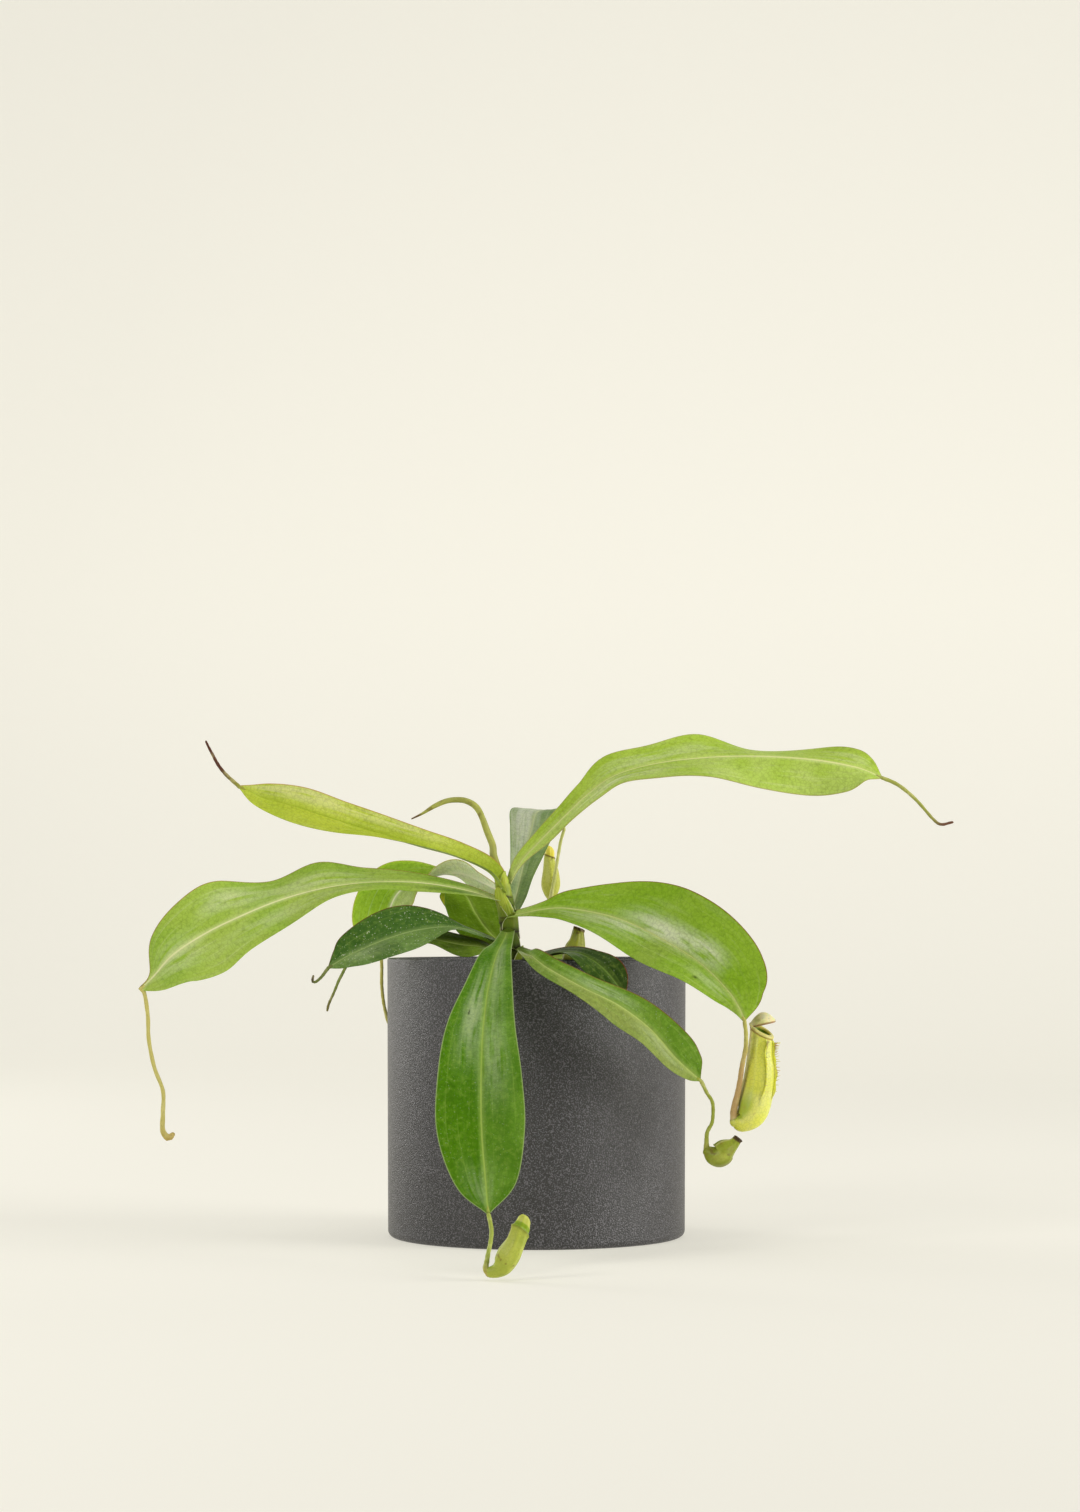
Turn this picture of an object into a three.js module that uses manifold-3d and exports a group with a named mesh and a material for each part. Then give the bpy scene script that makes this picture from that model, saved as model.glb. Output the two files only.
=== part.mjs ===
// A potted tropical pitcher plant: a plain round pot filled with peat mix, and a young plant whose
// leaves spring from one short leaning stem. Each leaf tip runs on into a tendril, and some tendrils
// end in a pitcher.
//
// Millimetres, +Z up, +X to the viewer's right, +Y away from the viewer.
// The origin is the centre of the pot's flat underside.
import * as THREE from "three";
import { mergeVertices } from "three/addons/utils/BufferGeometryUtils.js";
import Module from "manifold-3d";

const wasm = await Module();
wasm.setup();

// ---------------------------------------------------------------- driving dimensions (mm)

const POT = {
  rimRadius: 70,
  footRadius: 69.3,
  height: 129.5,
  wall: 4.5,
  floor: 6,
  footRound: 3,
  rimRound: 1,
  sides: 48,
};
const SOIL = { level: 116, mound: 2.5, rings: 5, unevenness: 1.1, lumpsX: 0.21, lumpsY: 0.17, lumpsTurn: 1.3 };
const GAP = 0.3; // air between neighbours that touch on the real plant
const BLADE_THICKNESS = 0.7;
const BLADE_STEPS = 16; // stations along a blade
const BLADE_COLUMNS = 3; // columns on each side of the midrib
const MIN_HALF_WIDTH = 0.5; // half the width of a blade's tip
const LEFT_EDGE_LEAD = 0.4; // the left edge waves this part of a turn ahead of the right edge
const TENDRIL_SIDES = 6;
const STALK_SIDES = 8; // the rolled leaf and the open pitcher's thicker stalk
const PITCHER_SIDES = 12;
const OPEN_PITCHER_SIDES = 14;
const STEM_SIDES = 10;

// The stem's centre line, from inside the soil up to the growing tip: x, y, z, radius.
const STEM = [
  [-11.5, -15, 96, 4.6],
  [-11.5, -15, 120, 4.6],
  [-12, -16, 135.5, 4.3],
  [-13, -17, 148, 4],
  [-15, -18, 159, 3.6],
  [-16.5, -18, 166.5, 3],
  [-17.5, -18, 170, 1.6],
];

// Each blade follows its midrib from the stem to the tip. A row is one point of the midrib:
// x, y, z, half width to the right and to the left (looking from stem to tip), roll in degrees
// (positive lifts the right side) and fold in degrees (positive lifts both sides into a V).
// wave is how far the edges rise and fall, how many times, and the right edge's phase in turns.
// heading, in degrees from +X, is given where the line from base to tip isn't the way the blade faces.
const BLADES = {
  leaf_upper_left: {
    color: 0xa3b93c,
    wave: [0.4, 1.5, 0.1],
    rows: [
      [-15.5, -20, 159.5, 3.5, 3.5, 20, 50],
      [-21.5, -21, 169.3, 6, 5, 35, 45],
      [-36.5, -23, 176.6, 7, 6, 38, 40],
      [-54, -25, 181.5, 8.5, 8, 38, 38],
      [-72.5, -26, 187, 9.5, 10, 45, 33],
      [-91, -27, 193, 9.6, 13.2, 52, 25],
      [-109.5, -27, 199, 10, 12.2, 58, 20],
      [-127, -26, 204, 7, 7.2, 60, 18],
      [-137.5, -25, 209, 0.8, 0.8, 60, 10],
    ],
  },
  leaf_long_right: {
    color: 0x9db84a,
    wave: [1.1, 3, 0.3],
    rows: [
      [-12, -17, 164, 3.2, 3, -20, 30],
      [-7, -15, 174.5, 4, 4, -38, 22],
      [3, -12, 185.5, 5.2, 5, -42, 8],
      [14, -10, 196.5, 5.8, 6.3, -44, 6],
      [24.5, -8, 206.5, 9.5, 9.2, -40, 8],
      [37, -6, 215, 12.5, 13.5, -35, 15],
      [55.5, -4, 220.5, 15.3, 12.6, -33, 9],
      [78.5, -2, 223.5, 17.5, 18.8, -36, 2],
      [104, 0, 224.5, 18.5, 18, -38, -24],
      [130, 2, 223, 18, 18, -47, -28],
      [148, 3, 220, 14.5, 13, -52, -8],
      [156.5, 4, 217.5, 8, 8, -50, 10],
      [163, 4, 214.5, 0.8, 0.8, -50, 0],
    ],
  },
  leaf_long_left: {
    color: 0x8fb04a,
    wave: [1.3, 2.5, 0.6],
    rows: [
      [-17, -17.5, 156, 3, 4, 20, 20],
      [-33.5, -22, 161.2, 5, 7.5, 32, 10],
      [-54.5, -28, 164.5, 8, 8, 32, 0],
      [-75.5, -34, 164.5, 12, 9.6, 22, 8],
      [-96, -40, 162, 16, 11.2, 38, 13],
      [-116.5, -46, 156.5, 14.8, 14.2, 50, -10],
      [-136.5, -52, 148, 21.5, 16.7, 62, -4],
      [-151, -56, 140.5, 19.5, 20, 68, 0],
      [-164, -60, 131.5, 14, 16.5, 66, 0],
      [-172.5, -62, 121.8, 2.5, 9, 62, 0],
      [-178.5, -63, 116, 0.8, 0.8, 60, 0],
    ],
  },
  leaf_broad_right: {
    color: 0x6f9a34,
    wave: [1.3, 3, 0.3],
    rows: [
      [-11, -20, 149, 3.8, 3.8, -25, 20],
      [2, -33, 152, 5.2, 5.4, -38, 7],
      [15, -40, 152.5, 8.8, 11, -46, 8],
      [37, -50, 148, 14.6, 20.5, -51, 11],
      [56, -58, 139, 16.5, 25, -60, 18],
      [73.5, -65, 128, 14, 25.5, -60, 20],
      [85.5, -70, 116, 8.5, 21.5, -60, 15],
      [90.5, -72, 108.5, 4, 12.5, -60, 10],
      [93, -73, 102.5, 0.8, 0.8, -60, 0],
    ],
  },
  leaf_front: {
    color: 0x4f8a2e,
    wave: [0.5, 1.5, 0.4],
    rows: [
      [-13.5, -20, 141.5, 3, 3.6, 0, 15],
      [-16, -45, 136, 4, 5.5, 0, 15],
      [-18, -70, 131, 7.5, 7, 0, 10],
      [-21, -95, 118, 10.4, 10.8, 0, 8],
      [-23, -115, 100, 16, 14.2, 0, 6],
      [-23.5, -132, 80, 18.7, 17.6, 0, 6],
      [-23, -145, 58, 19.1, 18.5, 0, 5],
      [-21, -155, 36, 12.4, 13, 0, 5],
      [-20, -161, 25, 0.8, 0.8, 0, 0],
    ],
  },
  leaf_low_right: {
    color: 0x6b9538,
    wave: [1.1, 3, 0.0],
    rows: [
      [-9.5, -20, 133.5, 3, 2.6, -10, 30],
      [-5, -46, 132, 4, 3.2, -15, 30],
      [-2, -71, 131, 4.5, 4.5, -25, 25],
      [5, -82, 126, 5, 6, -40, 5],
      [20.5, -88, 117.5, 7, 8.5, -35, 5],
      [36.5, -88, 109.5, 9, 9, -36, 0],
      [50.5, -84, 99, 8.5, 10, -36, 8],
      [62, -78, 86, 6.5, 11.5, -41, 10],
      [69, -74.5, 79.5, 4, 8, -40, 8],
      [73, -72, 76, 0.8, 0.8, -40, 0],
    ],
  },
  leaf_dark_right: {
    color: 0x3c5a26,
    wave: [0.4, 1.5, 0.5],
    rows: [
      [-9, -14.5, 127.5, 3, 3, -10, 20],
      [2, -30, 130.5, 5, 4, -20, 15],
      [13, -50, 132.5, 8, 5, -18, 12],
      [21, -66, 131.5, 9, 6, -15, 15],
      [29, -74, 126.5, 8, 8, -30, 5],
      [35, -75, 120, 6, 7, -35, 5],
      [39.5, -74, 113.5, 0.8, 0.8, -35, 0],
    ],
  },
  leaf_mid_left: {
    color: 0x44662f,
    wave: [0.8, 2, 0.3],
    rows: [
      [-15, -19, 135, 3, 3, 10, 25],
      [-29, -26, 142, 5, 5, 19, 0],
      [-41, -32, 144, 9, 9, 28, 18],
      [-55, -38, 142.5, 13, 12, 45, 15],
      [-68.5, -44, 138.5, 14, 13, 45, 14],
      [-82.5, -48, 132.5, 11, 11, 46, 14],
      [-89, -50, 129, 6, 6, 46, 10],
      [-94, -51, 126, 0.8, 0.8, 46, 0],
    ],
  },
  leaf_arched_back: {
    color: 0x86a83f,
    heading: 180,
    wave: [0.6, 2, 0.2],
    rows: [
      [-16.5, -15, 160.5, 3.2, 3.2, -15, 20],
      [-26, 2, 165.5, 10.5, 5.5, -35, 5],
      [-36.5, 14, 169.8, 11, 8, -40, 3],
      [-48, 24, 168.6, 11, 9, 5, 0],
      [-59.5, 30, 165, 14, 12, 45, 0],
      [-67.5, 33, 159, 18.6, 9.5, 62, 0],
      [-72.5, 35, 146.5, 19.2, 10.5, 66, 0],
      [-74, 36, 135.5, 12, 10, 66, 0],
      [-74.5, 36, 129, 0.8, 0.8, 66, 0],
    ],
  },
  leaf_upright_back: {
    color: 0x6d8a5a,
    heading: 85,
    wave: [0.5, 1.5, 0.0],
    rows: [
      [-13, -14.5, 148, 3, 3, 0, 15],
      [-10, -6, 157, 5.4, 3.5, 0, 15],
      [-7.5, 4, 167, 6.5, 5.2, 0, 15],
      [-5, 14, 179.5, 9.9, 7.6, 0, 12],
      [-2.5, 26, 190.5, 12.3, 10.3, 0, 8],
      [0, 41, 199, 12, 12.5, 0, 5],
      [6, 58, 200.5, 12.5, 11.5, 0, 5],
      [10, 72, 198, 8, 8, 0, 5],
      [13, 80, 193, 0.8, 0.8, 0, 0],
    ],
  },
  leaf_old_back: {
    color: 0x4a6b2c,
    heading: 105,
    wave: [0.6, 1.5, 0.3],
    rows: [
      [-14.5, -14.5, 135, 3.5, 8, 0, 3],
      [-22, -4, 141.5, 8, 15, 0, 0],
      [-29, 18, 150.5, 12, 15, -5, 3],
      [-34, 42, 158.6, 13, 11, -8, 5],
      [-39.5, 64, 158, 9, 8.2, 0, 5],
      [-42.5, 78, 151, 0.8, 0.8, 0, 0],
    ],
  },
  leaf_low_left: {
    color: 0x40562a,
    wave: [0.5, 1.5, 0.1],
    rows: [
      [-14, -18, 129, 3, 3, 10, 20],
      [-24, -27, 134.5, 6, 7.5, 20, 10],
      [-35, -31, 136, 9, 12.5, 30, 3],
      [-49, -32, 138.5, 10, 6.5, 28, 5],
      [-62.5, -32, 138, 8, 6, 28, 5],
      [-75.5, -33, 133.5, 6, 6, 25, 5],
      [-86, -35, 128, 0.8, 0.8, 20, 0],
    ],
  },
  leaf_small_inner: {
    color: 0x8c9a55,
    wave: [0.3, 1, 0.2],
    rows: [
      [-9.5, -13.5, 124.5, 2.5, 2.5, -10, 20],
      [0, -10, 128.5, 3.5, 3.5, -15, 15],
      [12, -10, 129.5, 4.5, 4.5, -15, 10],
      [22, -13, 125.5, 3.5, 3.5, -15, 5],
      [28, -17, 121, 0.8, 0.8, -10, 0],
    ],
  },
};

// The youngest leaf is still rolled into a tapering arched spike: x, y, z, radius.
const ROLLED_LEAF = [
  [-17.8, -17.5, 170.8, 1.7],
  [-20, -16, 177, 1.8],
  [-20.5, -15, 182, 1.6],
  [-23, -14, 188.5, 1.5],
  [-25.5, -14, 195.5, 1.4],
  [-28, -13, 199.8, 1.5],
  [-31.5, -13, 202.3, 1.5],
  [-35.5, -13, 203.3, 1.4],
  [-41.5, -13, 202.9, 1.2],
  [-47.5, -14, 200.4, 1],
  [-53, -14, 197, 0.6],
  [-58, -14, 194.5, 0.4],
];

// Each tendril carries on from the tip of its blade: x, y, z, radius. A pitcher, where there is one,
// is a second run of points that starts inside the tendril's end and fattens into the pitcher.
const TENDRILS = {
  tendril_upper_left: {
    color: 0x8a7a3a,
    stalk: [
      [-138.2, -25, 209.4, 0.9],
      [-145.6, -25, 216.5, 0.8],
      [-150, -24, 223.5, 0.7],
      [-153.3, -24, 230, 0.5],
    ],
  },
  tendril_long_right: {
    color: 0x8f8a3a,
    stalk: [
      [163.8, 4, 214.1, 0.9],
      [171, 5, 211, 0.9],
      [180, 6, 203.5, 0.8],
      [187.5, 7, 195, 0.7],
      [191.5, 8, 192.5, 0.7],
      [197, 9, 193.5, 0.6],
    ],
  },
  tendril_long_left: {
    color: 0xb3ac45,
    stalk: [
      [-176.4, -62.5, 114.6, 0.9],
      [-175, -61, 104.5, 0.9],
      [-174.5, -60, 93.5, 0.9],
      [-172, -60, 81, 0.9],
      [-168, -60, 70.5, 0.9],
      [-168, -60, 61, 1],
      [-168, -60, 53, 1.2],
      [-165.5, -60, 49.5, 1.6],
      [-163.5, -60, 51, 1.1],
    ],
  },
  tendril_arched_back: {
    color: 0xb0ad48,
    stalk: [
      [-74.6, 36, 128.3, 0.8],
      [-74.5, 37, 122.5, 0.8],
      [-74.5, 37, 116, 0.8],
      [-74, 38, 110.5, 0.8],
      [-73, 39, 104, 0.8],
      [-71, 40, 98, 1.1],
      [-68.5, 41, 96, 1.6],
    ],
  },
  tendril_mid_left: {
    color: 0x5f6a38,
    stalk: [
      [-94.6, -51.3, 125.3, 0.8],
      [-97, -53, 122, 0.7],
      [-99.5, -54, 119.5, 0.6],
      [-101.3, -54, 119.5, 0.6],
      [-101, -54, 122, 0.5],
    ],
  },
  tendril_low_left: {
    color: 0x7d8544,
    stalk: [
      [-86.6, -35.5, 127.2, 0.8],
      [-88, -37, 124.5, 0.7],
      [-90, -38, 120.5, 0.7],
      [-92.5, -39, 114.5, 0.6],
      [-95, -40, 108.5, 0.6],
      [-95.5, -40, 106, 0.5],
    ],
  },
  pitcher_front: {
    color: 0x9aa83c,
    stalk: [
      [-19.9, -161.4, 24.6, 0.9],
      [-18.5, -167, 18.5, 0.9],
      [-19, -175, 13.5, 0.9],
      [-20, -182, 8.5, 1],
      [-20.5, -187, 4.9, 1.3],
      [-19, -188, 3.2, 1.8],
    ],
    body: [
      [-19, -188, 3.4, 2.2],
      [-16, -188, 4.2, 3],
      [-13.5, -188, 6.2, 4],
      [-11, -188, 10.5, 4.6],
      [-8, -188, 16, 3.6],
      [-6, -188, 21, 3.2],
      [-5, -188, 24, 2.6],
    ],
  },
  pitcher_low_right: {
    color: 0x8f9c3a,
    stalk: [
      [73.6, -71.6, 75.4, 0.9],
      [76, -71, 70.5, 0.8],
      [78.5, -70, 66.5, 0.8],
      [79, -70, 61.5, 0.8],
      [78.5, -70, 57, 0.8],
      [76.5, -70, 53, 0.9],
      [76, -70, 49, 1],
      [76, -70, 45, 1.4],
    ],
    body: [
      [76, -70, 44.6, 2.2],
      [79, -70, 42.6, 4.4],
      [82, -70, 42.6, 5.4],
      [84.5, -70, 45, 4.8],
      [88, -70, 47.5, 2.6],
      [90, -70, 50, 1.8],
    ],
  },
  pitcher_upright_back: {
    color: 0x9a9c44,
    stalk: [
      [13.6, 80.8, 192.3, 0.8],
      [12, 82, 186.5, 0.8],
      [10.5, 82, 178.5, 0.8],
      [9, 82, 169, 0.9],
      [7.5, 83, 161, 1],
      [7, 85, 156.8, 1.4],
      [7, 87, 158, 1.8],
    ],
    body: [
      [7, 86.5, 157.3, 1.6],
      [7, 87, 160.5, 3.5],
      [7, 88, 165, 4.6],
      [7, 88, 171, 3.9],
      [6.5, 88, 177, 2.6],
      [6.5, 88, 181.5, 2.2],
    ],
  },
  pitcher_small_inner: {
    color: 0x8a8d3e,
    stalk: [
      [28.9, -17.8, 120.8, 0.8],
      [29, -20.8, 120.2, 0.8],
      [26.5, -23.6, 120.6, 0.9],
      [21, -24, 122.5, 1.4],
    ],
    body: [
      [17, -24, 119.8, 3],
      [17, -24, 123, 5.4],
      [17.5, -24, 129, 5.5],
      [18, -24, 134, 4.9],
      [19, -24, 138, 3.4],
      [19.5, -24, 143.5, 2.2],
    ],
  },
};

// The one open pitcher hangs from the broad right leaf. Its tendril runs down its back and turns in
// under the foot, and its mouth slants down to the right and to the front under a domed lid.
const OPEN_PITCHER = {
  color: 0xc0c24a,
  wall: 0.9,
  stalk: [
    [93, -73.6, 101.6, 0.9],
    [93.5, -73.5, 97, 0.9],
    [93.5, -73, 90.5, 1],
    [92, -72, 83, 1.1],
    [91, -71, 75.5, 1.2],
    [89.8, -70, 69, 1.4],
    [88.3, -69.5, 62, 1.6],
    [88.5, -69, 57.3, 1.9],
  ],
  body: [
    [88.5, -69, 57.3, 2.4],
    [92, -68, 57.2, 4.8],
    [96.5, -67, 61.5, 6.9],
    [99, -66, 70.5, 7.2],
    [100.3, -66, 79.5, 6.7],
    [100.5, -66, 87.5, 5.8],
    [101, -66, 94, 5.2],
    [101, -66, 102, 5.1],
  ],
  mouth: { at: [101, -66, 97], slopeX: 0.52, slopeY: 0.3, lipRadius: 0.6 },
  hollowRow: 2, // the hollow starts at this row of the body
  wing: { rows: [2, 6], proud: 1.3, thick: 0.8, angles: [0.35, 1.24] }, // angles in radians from +X towards -Y
  lid: {
    hinge: [96, -64.5, 98.6],
    length: 11,
    halfWidth: 4.6,
    lift: 2.6, // the tip lies this much higher than the hinge
    sway: -1.5, // and this far along Y from it
    rise: 4.8, // height of the dome
    sideDrop: 0.5, // share of the dome that is lost at the two sides
    tilt: 2.2, // the front edge hangs this much lower than the middle, the back edge stands as much higher
    thickness: 0.8,
    steps: 6,
    columns: 4,
  },
};

// ---------------------------------------------------------------- curves and closed meshes

// Catmull-Rom through the rows of a table, all columns alike. u runs from 0 to rows.length - 1.
function along(rows, u) {
  const last = rows.length - 1;
  const i = Math.min(Math.floor(u), last - 1);
  const t = u - i;
  const mirrored = (a, b) => a.map((value, k) => 2 * value - b[k]);
  const p1 = rows[i];
  const p2 = rows[i + 1];
  const p0 = i > 0 ? rows[i - 1] : mirrored(p1, p2);
  const p3 = i + 2 <= last ? rows[i + 2] : mirrored(p2, p1);
  return p1.map((value, k) => {
    const m1 = (p2[k] - p0[k]) / 2;
    const m2 = (p3[k] - value) / 2;
    const t2 = t * t;
    const t3 = t2 * t;
    return (
      value * (2 * t3 - 3 * t2 + 1) + m1 * (t3 - 2 * t2 + t) + p2[k] * (3 * t2 - 2 * t3) + m2 * (t3 - t2)
    );
  });
}

const point = (row) => new THREE.Vector3(row[0], row[1], row[2]);

function tangent(rows, u) {
  const step = 0.02;
  const ahead = point(along(rows, Math.min(rows.length - 1, u + step)));
  return ahead.sub(point(along(rows, Math.max(0, u - step)))).normalize();
}

function geometryFrom(points, faces) {
  const geometry = new THREE.BufferGeometry();
  const numbers = points.flatMap((p) => [p.x, p.y, p.z]);
  geometry.setAttribute("position", new THREE.Float32BufferAttribute(numbers, 3));
  geometry.setIndex(faces.flat());
  return geometry;
}

// A round rod of changing thickness along a table of x, y, z, radius. Its rings are carried along
// without twisting, and its two ends are flat.
function rod(rows, sides, stepsPerRow, extra = 0) {
  const steps = Math.round((rows.length - 1) * stepsPerRow);
  const points = [];
  const faces = [];
  let side = new THREE.Vector3(0, 1, 0);
  if (Math.abs(tangent(rows, 0).y) > 0.9) side = new THREE.Vector3(1, 0, 0);
  for (let i = 0; i <= steps; i++) {
    const u = ((rows.length - 1) * i) / steps;
    const row = along(rows, u);
    const direction = tangent(rows, u);
    side = side.clone().addScaledVector(direction, -side.dot(direction)).normalize();
    const other = new THREE.Vector3().crossVectors(direction, side);
    const radius = Math.max(0.3, row[3]) + extra;
    for (let j = 0; j < sides; j++) {
      const angle = (2 * Math.PI * j) / sides;
      const spoke = side.clone().multiplyScalar(Math.cos(angle)).addScaledVector(other, Math.sin(angle));
      points.push(point(row).addScaledVector(spoke, radius));
      if (i === steps) continue;
      const a = i * sides + j;
      const b = i * sides + ((j + 1) % sides);
      faces.push([a, b, b + sides], [a, b + sides, a + sides]);
    }
  }
  const first = points.length;
  points.push(point(rows[0]), point(rows[rows.length - 1]));
  for (let j = 0; j < sides; j++) {
    const next = (j + 1) % sides;
    faces.push([first, next, j], [first + 1, steps * sides + j, steps * sides + next]);
  }
  return geometryFrom(points, faces);
}

// The right-hand direction of a blade, level and square to the way it heads.
function rightHand(blade) {
  const from = blade.rows[0];
  const to = blade.rows[blade.rows.length - 1];
  let heading = Math.atan2(to[1] - from[1], to[0] - from[0]);
  if (blade.heading !== undefined) heading = THREE.MathUtils.degToRad(blade.heading);
  return new THREE.Vector3(Math.sin(heading), -Math.cos(heading), 0);
}

// One point of a blade's middle surface. u runs along the midrib, s across from -1 (left) to 1.
function bladePoint(blade, level, u, s) {
  const row = along(blade.rows, u);
  const direction = tangent(blade.rows, u);
  const side = level.clone().addScaledVector(direction, -level.dot(direction)).normalize();
  const up = new THREE.Vector3().crossVectors(side, direction);
  const [right, left, roll, fold] = row.slice(3);
  const rollAngle = THREE.MathUtils.degToRad(roll);
  const foldAngle = THREE.MathUtils.degToRad(fold);
  const across = side.clone().multiplyScalar(Math.cos(rollAngle)).addScaledVector(up, Math.sin(rollAngle));
  const out = up.clone().multiplyScalar(Math.cos(rollAngle)).addScaledVector(side, -Math.sin(rollAngle));
  const width = Math.max(MIN_HALF_WIDTH, s > 0 ? right : left);
  const [height, count, phase] = blade.wave;
  const share = u / (blade.rows.length - 1);
  const turns = share * count + phase + (s > 0 ? 0 : LEFT_EDGE_LEAD);
  const wave = height * s * s * Math.sin(2 * Math.PI * turns) * Math.sin(Math.PI * share);
  return point(row)
    .addScaledVector(across, width * s * Math.cos(foldAngle))
    .addScaledVector(out, width * Math.abs(s) * Math.sin(foldAngle) + wave);
}

// A blade of even thickness: its middle surface moved half the thickness to each side, both faces
// split into the same triangles.
function bladeGeometry(blade) {
  const level = rightHand(blade);
  const last = blade.rows.length - 1;
  const columns = 2 * BLADE_COLUMNS + 1;
  const grid = [];
  for (let i = 0; i <= BLADE_STEPS; i++) {
    const line = [];
    for (let j = -BLADE_COLUMNS; j <= BLADE_COLUMNS; j++) {
      line.push(bladePoint(blade, level, (last * i) / BLADE_STEPS, j / BLADE_COLUMNS));
    }
    grid.push(line);
  }
  const upper = [];
  const lower = [];
  for (let i = 0; i <= BLADE_STEPS; i++) {
    for (let j = 0; j < columns; j++) {
      const ahead = grid[Math.min(i + 1, BLADE_STEPS)][j].clone().sub(grid[Math.max(i - 1, 0)][j]);
      const over = grid[i][Math.min(j + 1, columns - 1)].clone().sub(grid[i][Math.max(j - 1, 0)]);
      const normal = over.cross(ahead).normalize();
      upper.push(grid[i][j].clone().addScaledVector(normal, BLADE_THICKNESS / 2));
      lower.push(grid[i][j].clone().addScaledVector(normal, -BLADE_THICKNESS / 2));
    }
  }
  const below = upper.length;
  const faces = [];
  const quad = (a, b, c, d) => faces.push([a, b, c], [a, c, d]);
  for (let i = 0; i < BLADE_STEPS; i++) {
    for (let j = 0; j < columns - 1; j++) {
      const a = i * columns + j;
      quad(a, a + 1, a + columns + 1, a + columns);
      faces.push([below + a, below + a + columns + 1, below + a + 1]);
      faces.push([below + a, below + a + columns, below + a + columns + 1]);
    }
    const l = i * columns;
    const r = l + columns - 1;
    quad(l, l + columns, below + l + columns, below + l);
    quad(r, below + r, below + r + columns, r + columns);
  }
  const end = BLADE_STEPS * columns;
  for (let j = 0; j < columns - 1; j++) {
    quad(j + 1, j, below + j, below + j + 1);
    quad(end + j, end + j + 1, below + end + j + 1, below + end + j);
  }
  return geometryFrom([...upper, ...lower], faces);
}

// ---------------------------------------------------------------- joining and cutting

function solid(geometry) {
  const bare = geometry.clone();
  bare.deleteAttribute("normal");
  bare.deleteAttribute("uv");
  const merged = mergeVertices(bare, 1e-5);
  return new wasm.Manifold(
    new wasm.Mesh({
      numProp: 3,
      vertProperties: new Float32Array(merged.attributes.position.array),
      triVerts: new Uint32Array(merged.index.array),
    })
  );
}

function geometryOf(manifold) {
  const mesh = manifold.getMesh();
  const geometry = new THREE.BufferGeometry();
  geometry.setAttribute("position", new THREE.Float32BufferAttribute(mesh.vertProperties, 3));
  geometry.setIndex([...mesh.triVerts]);
  return geometry;
}

// ---------------------------------------------------------------- the pieces

const plant = new THREE.Group();

function place(name, geometry, color, roughness) {
  geometry.computeVertexNormals();
  const material = new THREE.MeshStandardMaterial({ color, roughness, metalness: 0 });
  const mesh = new THREE.Mesh(geometry, material);
  mesh.name = name;
  plant.add(mesh);
}

// A lathe profile from [radius, height] pairs, listed from the axis at the bottom, round the
// outside and back to the axis at the top.
function lathe(profile, sides) {
  const geometry = new THREE.LatheGeometry(profile.map(([r, z]) => new THREE.Vector2(r, z)), sides);
  geometry.rotateX(Math.PI / 2);
  return geometry;
}

function arc(centreR, centreZ, radius, fromDeg, toDeg, steps) {
  return Array.from({ length: steps + 1 }, (_, i) => {
    const angle = THREE.MathUtils.degToRad(fromDeg + ((toDeg - fromDeg) * i) / steps);
    return [centreR + radius * Math.cos(angle), centreZ + radius * Math.sin(angle)];
  });
}

function addPot() {
  const inner = POT.rimRadius - POT.wall;
  const rim = POT.height - POT.rimRound;
  const profile = [
    [0, 0],
    ...arc(POT.footRadius - POT.footRound, POT.footRound, POT.footRound, -90, 0, 3),
    ...arc(POT.rimRadius - POT.rimRound, rim, POT.rimRound, 0, 90, 2),
    ...arc(inner + POT.rimRound, rim, POT.rimRound, 90, 180, 2),
    [inner, POT.floor],
    [0, POT.floor],
  ];
  place("pot", lathe(profile, POT.sides), 0x4d4c4e, 0.75);
}

const stemSolid = solid(rod(STEM, STEM_SIDES, 2));

// The same stem grown by the gap on all sides, for the hole in the soil and the clasping leaf bases.
const GROWN_STEM = STEM.map((row) => [...row]);
GROWN_STEM[0][2] -= GAP;
GROWN_STEM[STEM.length - 1][2] += GAP;
const stemClearance = solid(rod(GROWN_STEM, STEM_SIDES, 2, GAP));

function addSoil() {
  const edge = POT.rimRadius - POT.wall - GAP;
  const top = Array.from({ length: SOIL.rings + 1 }, (_, i) => {
    const share = 1 - i / SOIL.rings;
    return [edge * share, SOIL.level + SOIL.mound * (1 - share * share)];
  });
  const geometry = lathe([[0, POT.floor + GAP], [edge, POT.floor + GAP], ...top], POT.sides);
  const position = geometry.attributes.position;
  for (let i = 0; i < position.count; i++) {
    const x = position.getX(i);
    const y = position.getY(i);
    const z = position.getZ(i);
    const onTop = z >= SOIL.level;
    const atEdge = Math.hypot(x, y) > edge - 1;
    if (onTop && !atEdge) {
      const lumps = Math.sin(SOIL.lumpsX * x + SOIL.lumpsTurn) * Math.cos(SOIL.lumpsY * y);
      position.setZ(i, z + SOIL.unevenness * lumps);
    }
  }
  place("soil", geometryOf(solid(geometry).subtract(stemClearance)), 0x2e221b, 0.95);
}

function addBlades() {
  for (const [name, blade] of Object.entries(BLADES)) {
    const cut = solid(bladeGeometry(blade)).subtract(stemClearance);
    place(name, geometryOf(cut), blade.color, 0.45);
  }
  place("leaf_rolled", rod(ROLLED_LEAF, STALK_SIDES, 1.5), 0x9a9a3c, 0.5);
}

function addTendrils() {
  for (const [name, piece] of Object.entries(TENDRILS)) {
    let geometry = rod(piece.stalk, TENDRIL_SIDES, 2);
    if (piece.body) {
      const body = rod(piece.body, PITCHER_SIDES, 2);
      geometry = geometryOf(solid(geometry).add(solid(body)));
    }
    place(name, geometry, piece.color, 0.5);
  }
}

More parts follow.
